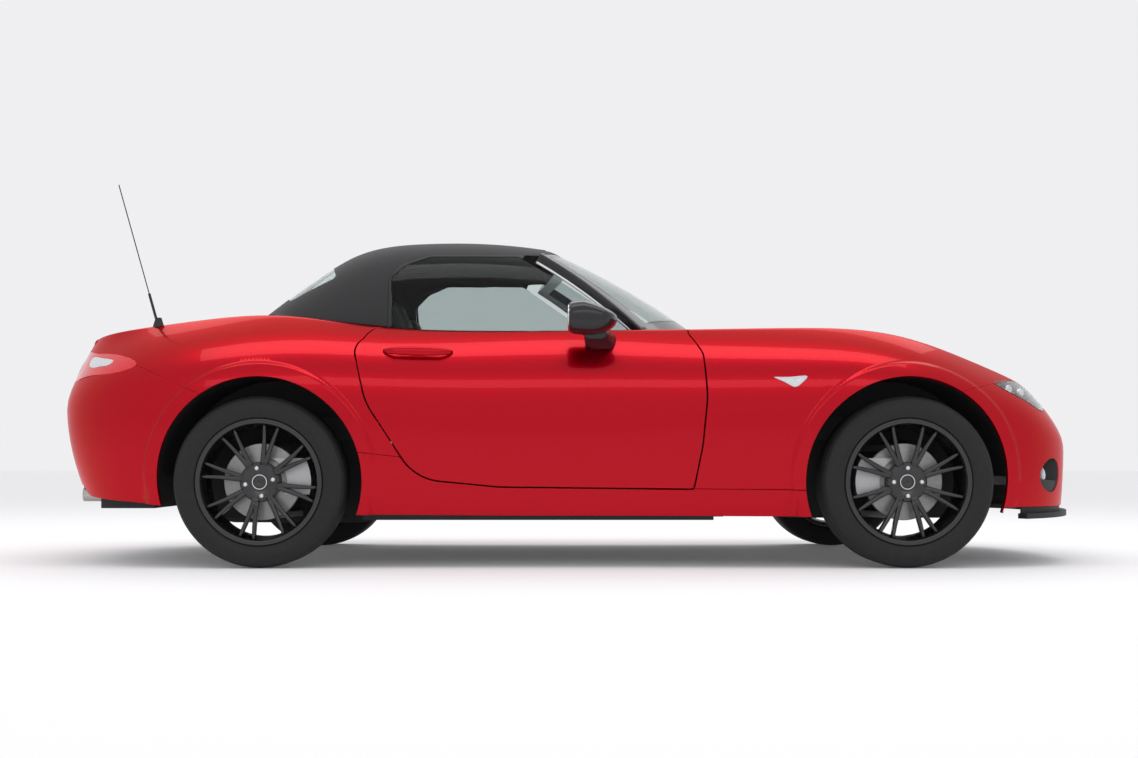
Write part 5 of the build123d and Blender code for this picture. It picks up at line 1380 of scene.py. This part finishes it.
def closed_bar(rings):
    """Capped bar whose faces look outward: they are reversed where the enclosed volume comes out negative."""
    points, cells = bar(rings)
    flat = points.reshape(-1, 3) - points.reshape(-1, 3).mean(0)
    corner = flat[np.array(cells[:-2])]
    volume = (np.cross(corner[:, 1] - corner[:, 0], corner[:, 2] - corner[:, 0]) * corner[:, 0]).sum()
    return points, cells if volume > 0 else [row[::-1] for row in cells]


cover_rows = rounded([(-30, -3, 0), (-36, -1, 1), (-36, 1.4, 1), (1.8, 1.4, 11), (1.8, -41, 4), (-6, -41, 1),
                      (-30, -3, 0)], 2)[None, :-1]
w = np.linspace(0.0, 0.995, 40)
edge = screen(np.ones(40), w)
inward = unit(screen(np.full(40, .9), w) - edge)
run = unit(np.gradient(edge, axis=0))
over_edge = unit(np.cross(run, inward))
over_edge = over_edge * np.sign(over_edge[:, 2:])
cover = edge[:, None] - inward[:, None] * cover_rows[..., :1] + over_edge[:, None] * cover_rows[..., 1:2]
strip = (edge - inward * 2.4 - over_edge * 35)[1:]
for hand, sign in HANDS:
    flip = np.array([1, sign, 1])
    make(f"pillar_cover_{hand}", *closed_bar(cover * flip), gloss_black, "body", "gloss_black")
    band = tube_along(strip * flip, np.tile([4.6, 2.0], (len(strip), 1)))
    make(f"pillar_strip_{hand}", *band, satin_silver, "body", "steel")

# Rubber seal that fills the step between the windscreen header and the front hem of the top.
s = np.linspace(-1, 1, 61)
low_edge = screen(s, 0.985) + [.8, 0, 1.4]
high_edge = roof(0 * s + .012, s * front_t) - [0, 0, 3.2]
f = np.linspace(0, 1, 9)[:, None, None]
upper = low_edge * (1 - f) + high_edge * f + np.sin(math.pi * f) * np.array([1.5, 0, 3.5])
rings = np.concatenate([upper, (upper - [0, 0, 7])[::-1]]).transpose(1, 0, 2)
make("header_seal", *closed_bar(rings), rubber, "body", "black_plastic")


# ---- carried parts ----
# The hidden structure, the castings, the glass and the running gear keep the meshes of their solids, each
# with the finish of what it is made of, but the radiator and the exhaust take the dark underbody coating as
# painted shade behind the grille and under the rear bumper.
clear_glass = speckled("tinted_glass", 3.0, 0.01, 0.01, Base_Color=(0.62, 0.68, 0.67),
                       Transmission_Weight=1.0, IOR=1.2)
carried = {name: finish for finish, names in (
    # Painted shade: the radiator and the exhaust get the dark coating so that they read as shade.
    (coating_and_shade, "floor_pan underbody boot_tray radiator exhaust"),
    (cast, "front_subframe rear_subframe engine knuckle_front"),
    (plastic, "arch_liners grille front_lip soft_top dashboard seats steering_wheel antenna"),
    (gloss_black, "headlamps tail_lamps windscreen_frame mirror rim"),
    (clear_glass, "windscreen rear_window door_glass"),
    (paint, "door hood boot_lid top_panels front_bumper front_fenders sills rear_quarters rear_bumper"),
    (rubber, "tyre"),
) for name in names.split()}
for name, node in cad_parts.items():
    kind = max((key for key in carried if name.startswith(key)), key=len)
    node.data.materials.clear()
    node.data.materials.append(carried[kind].material)
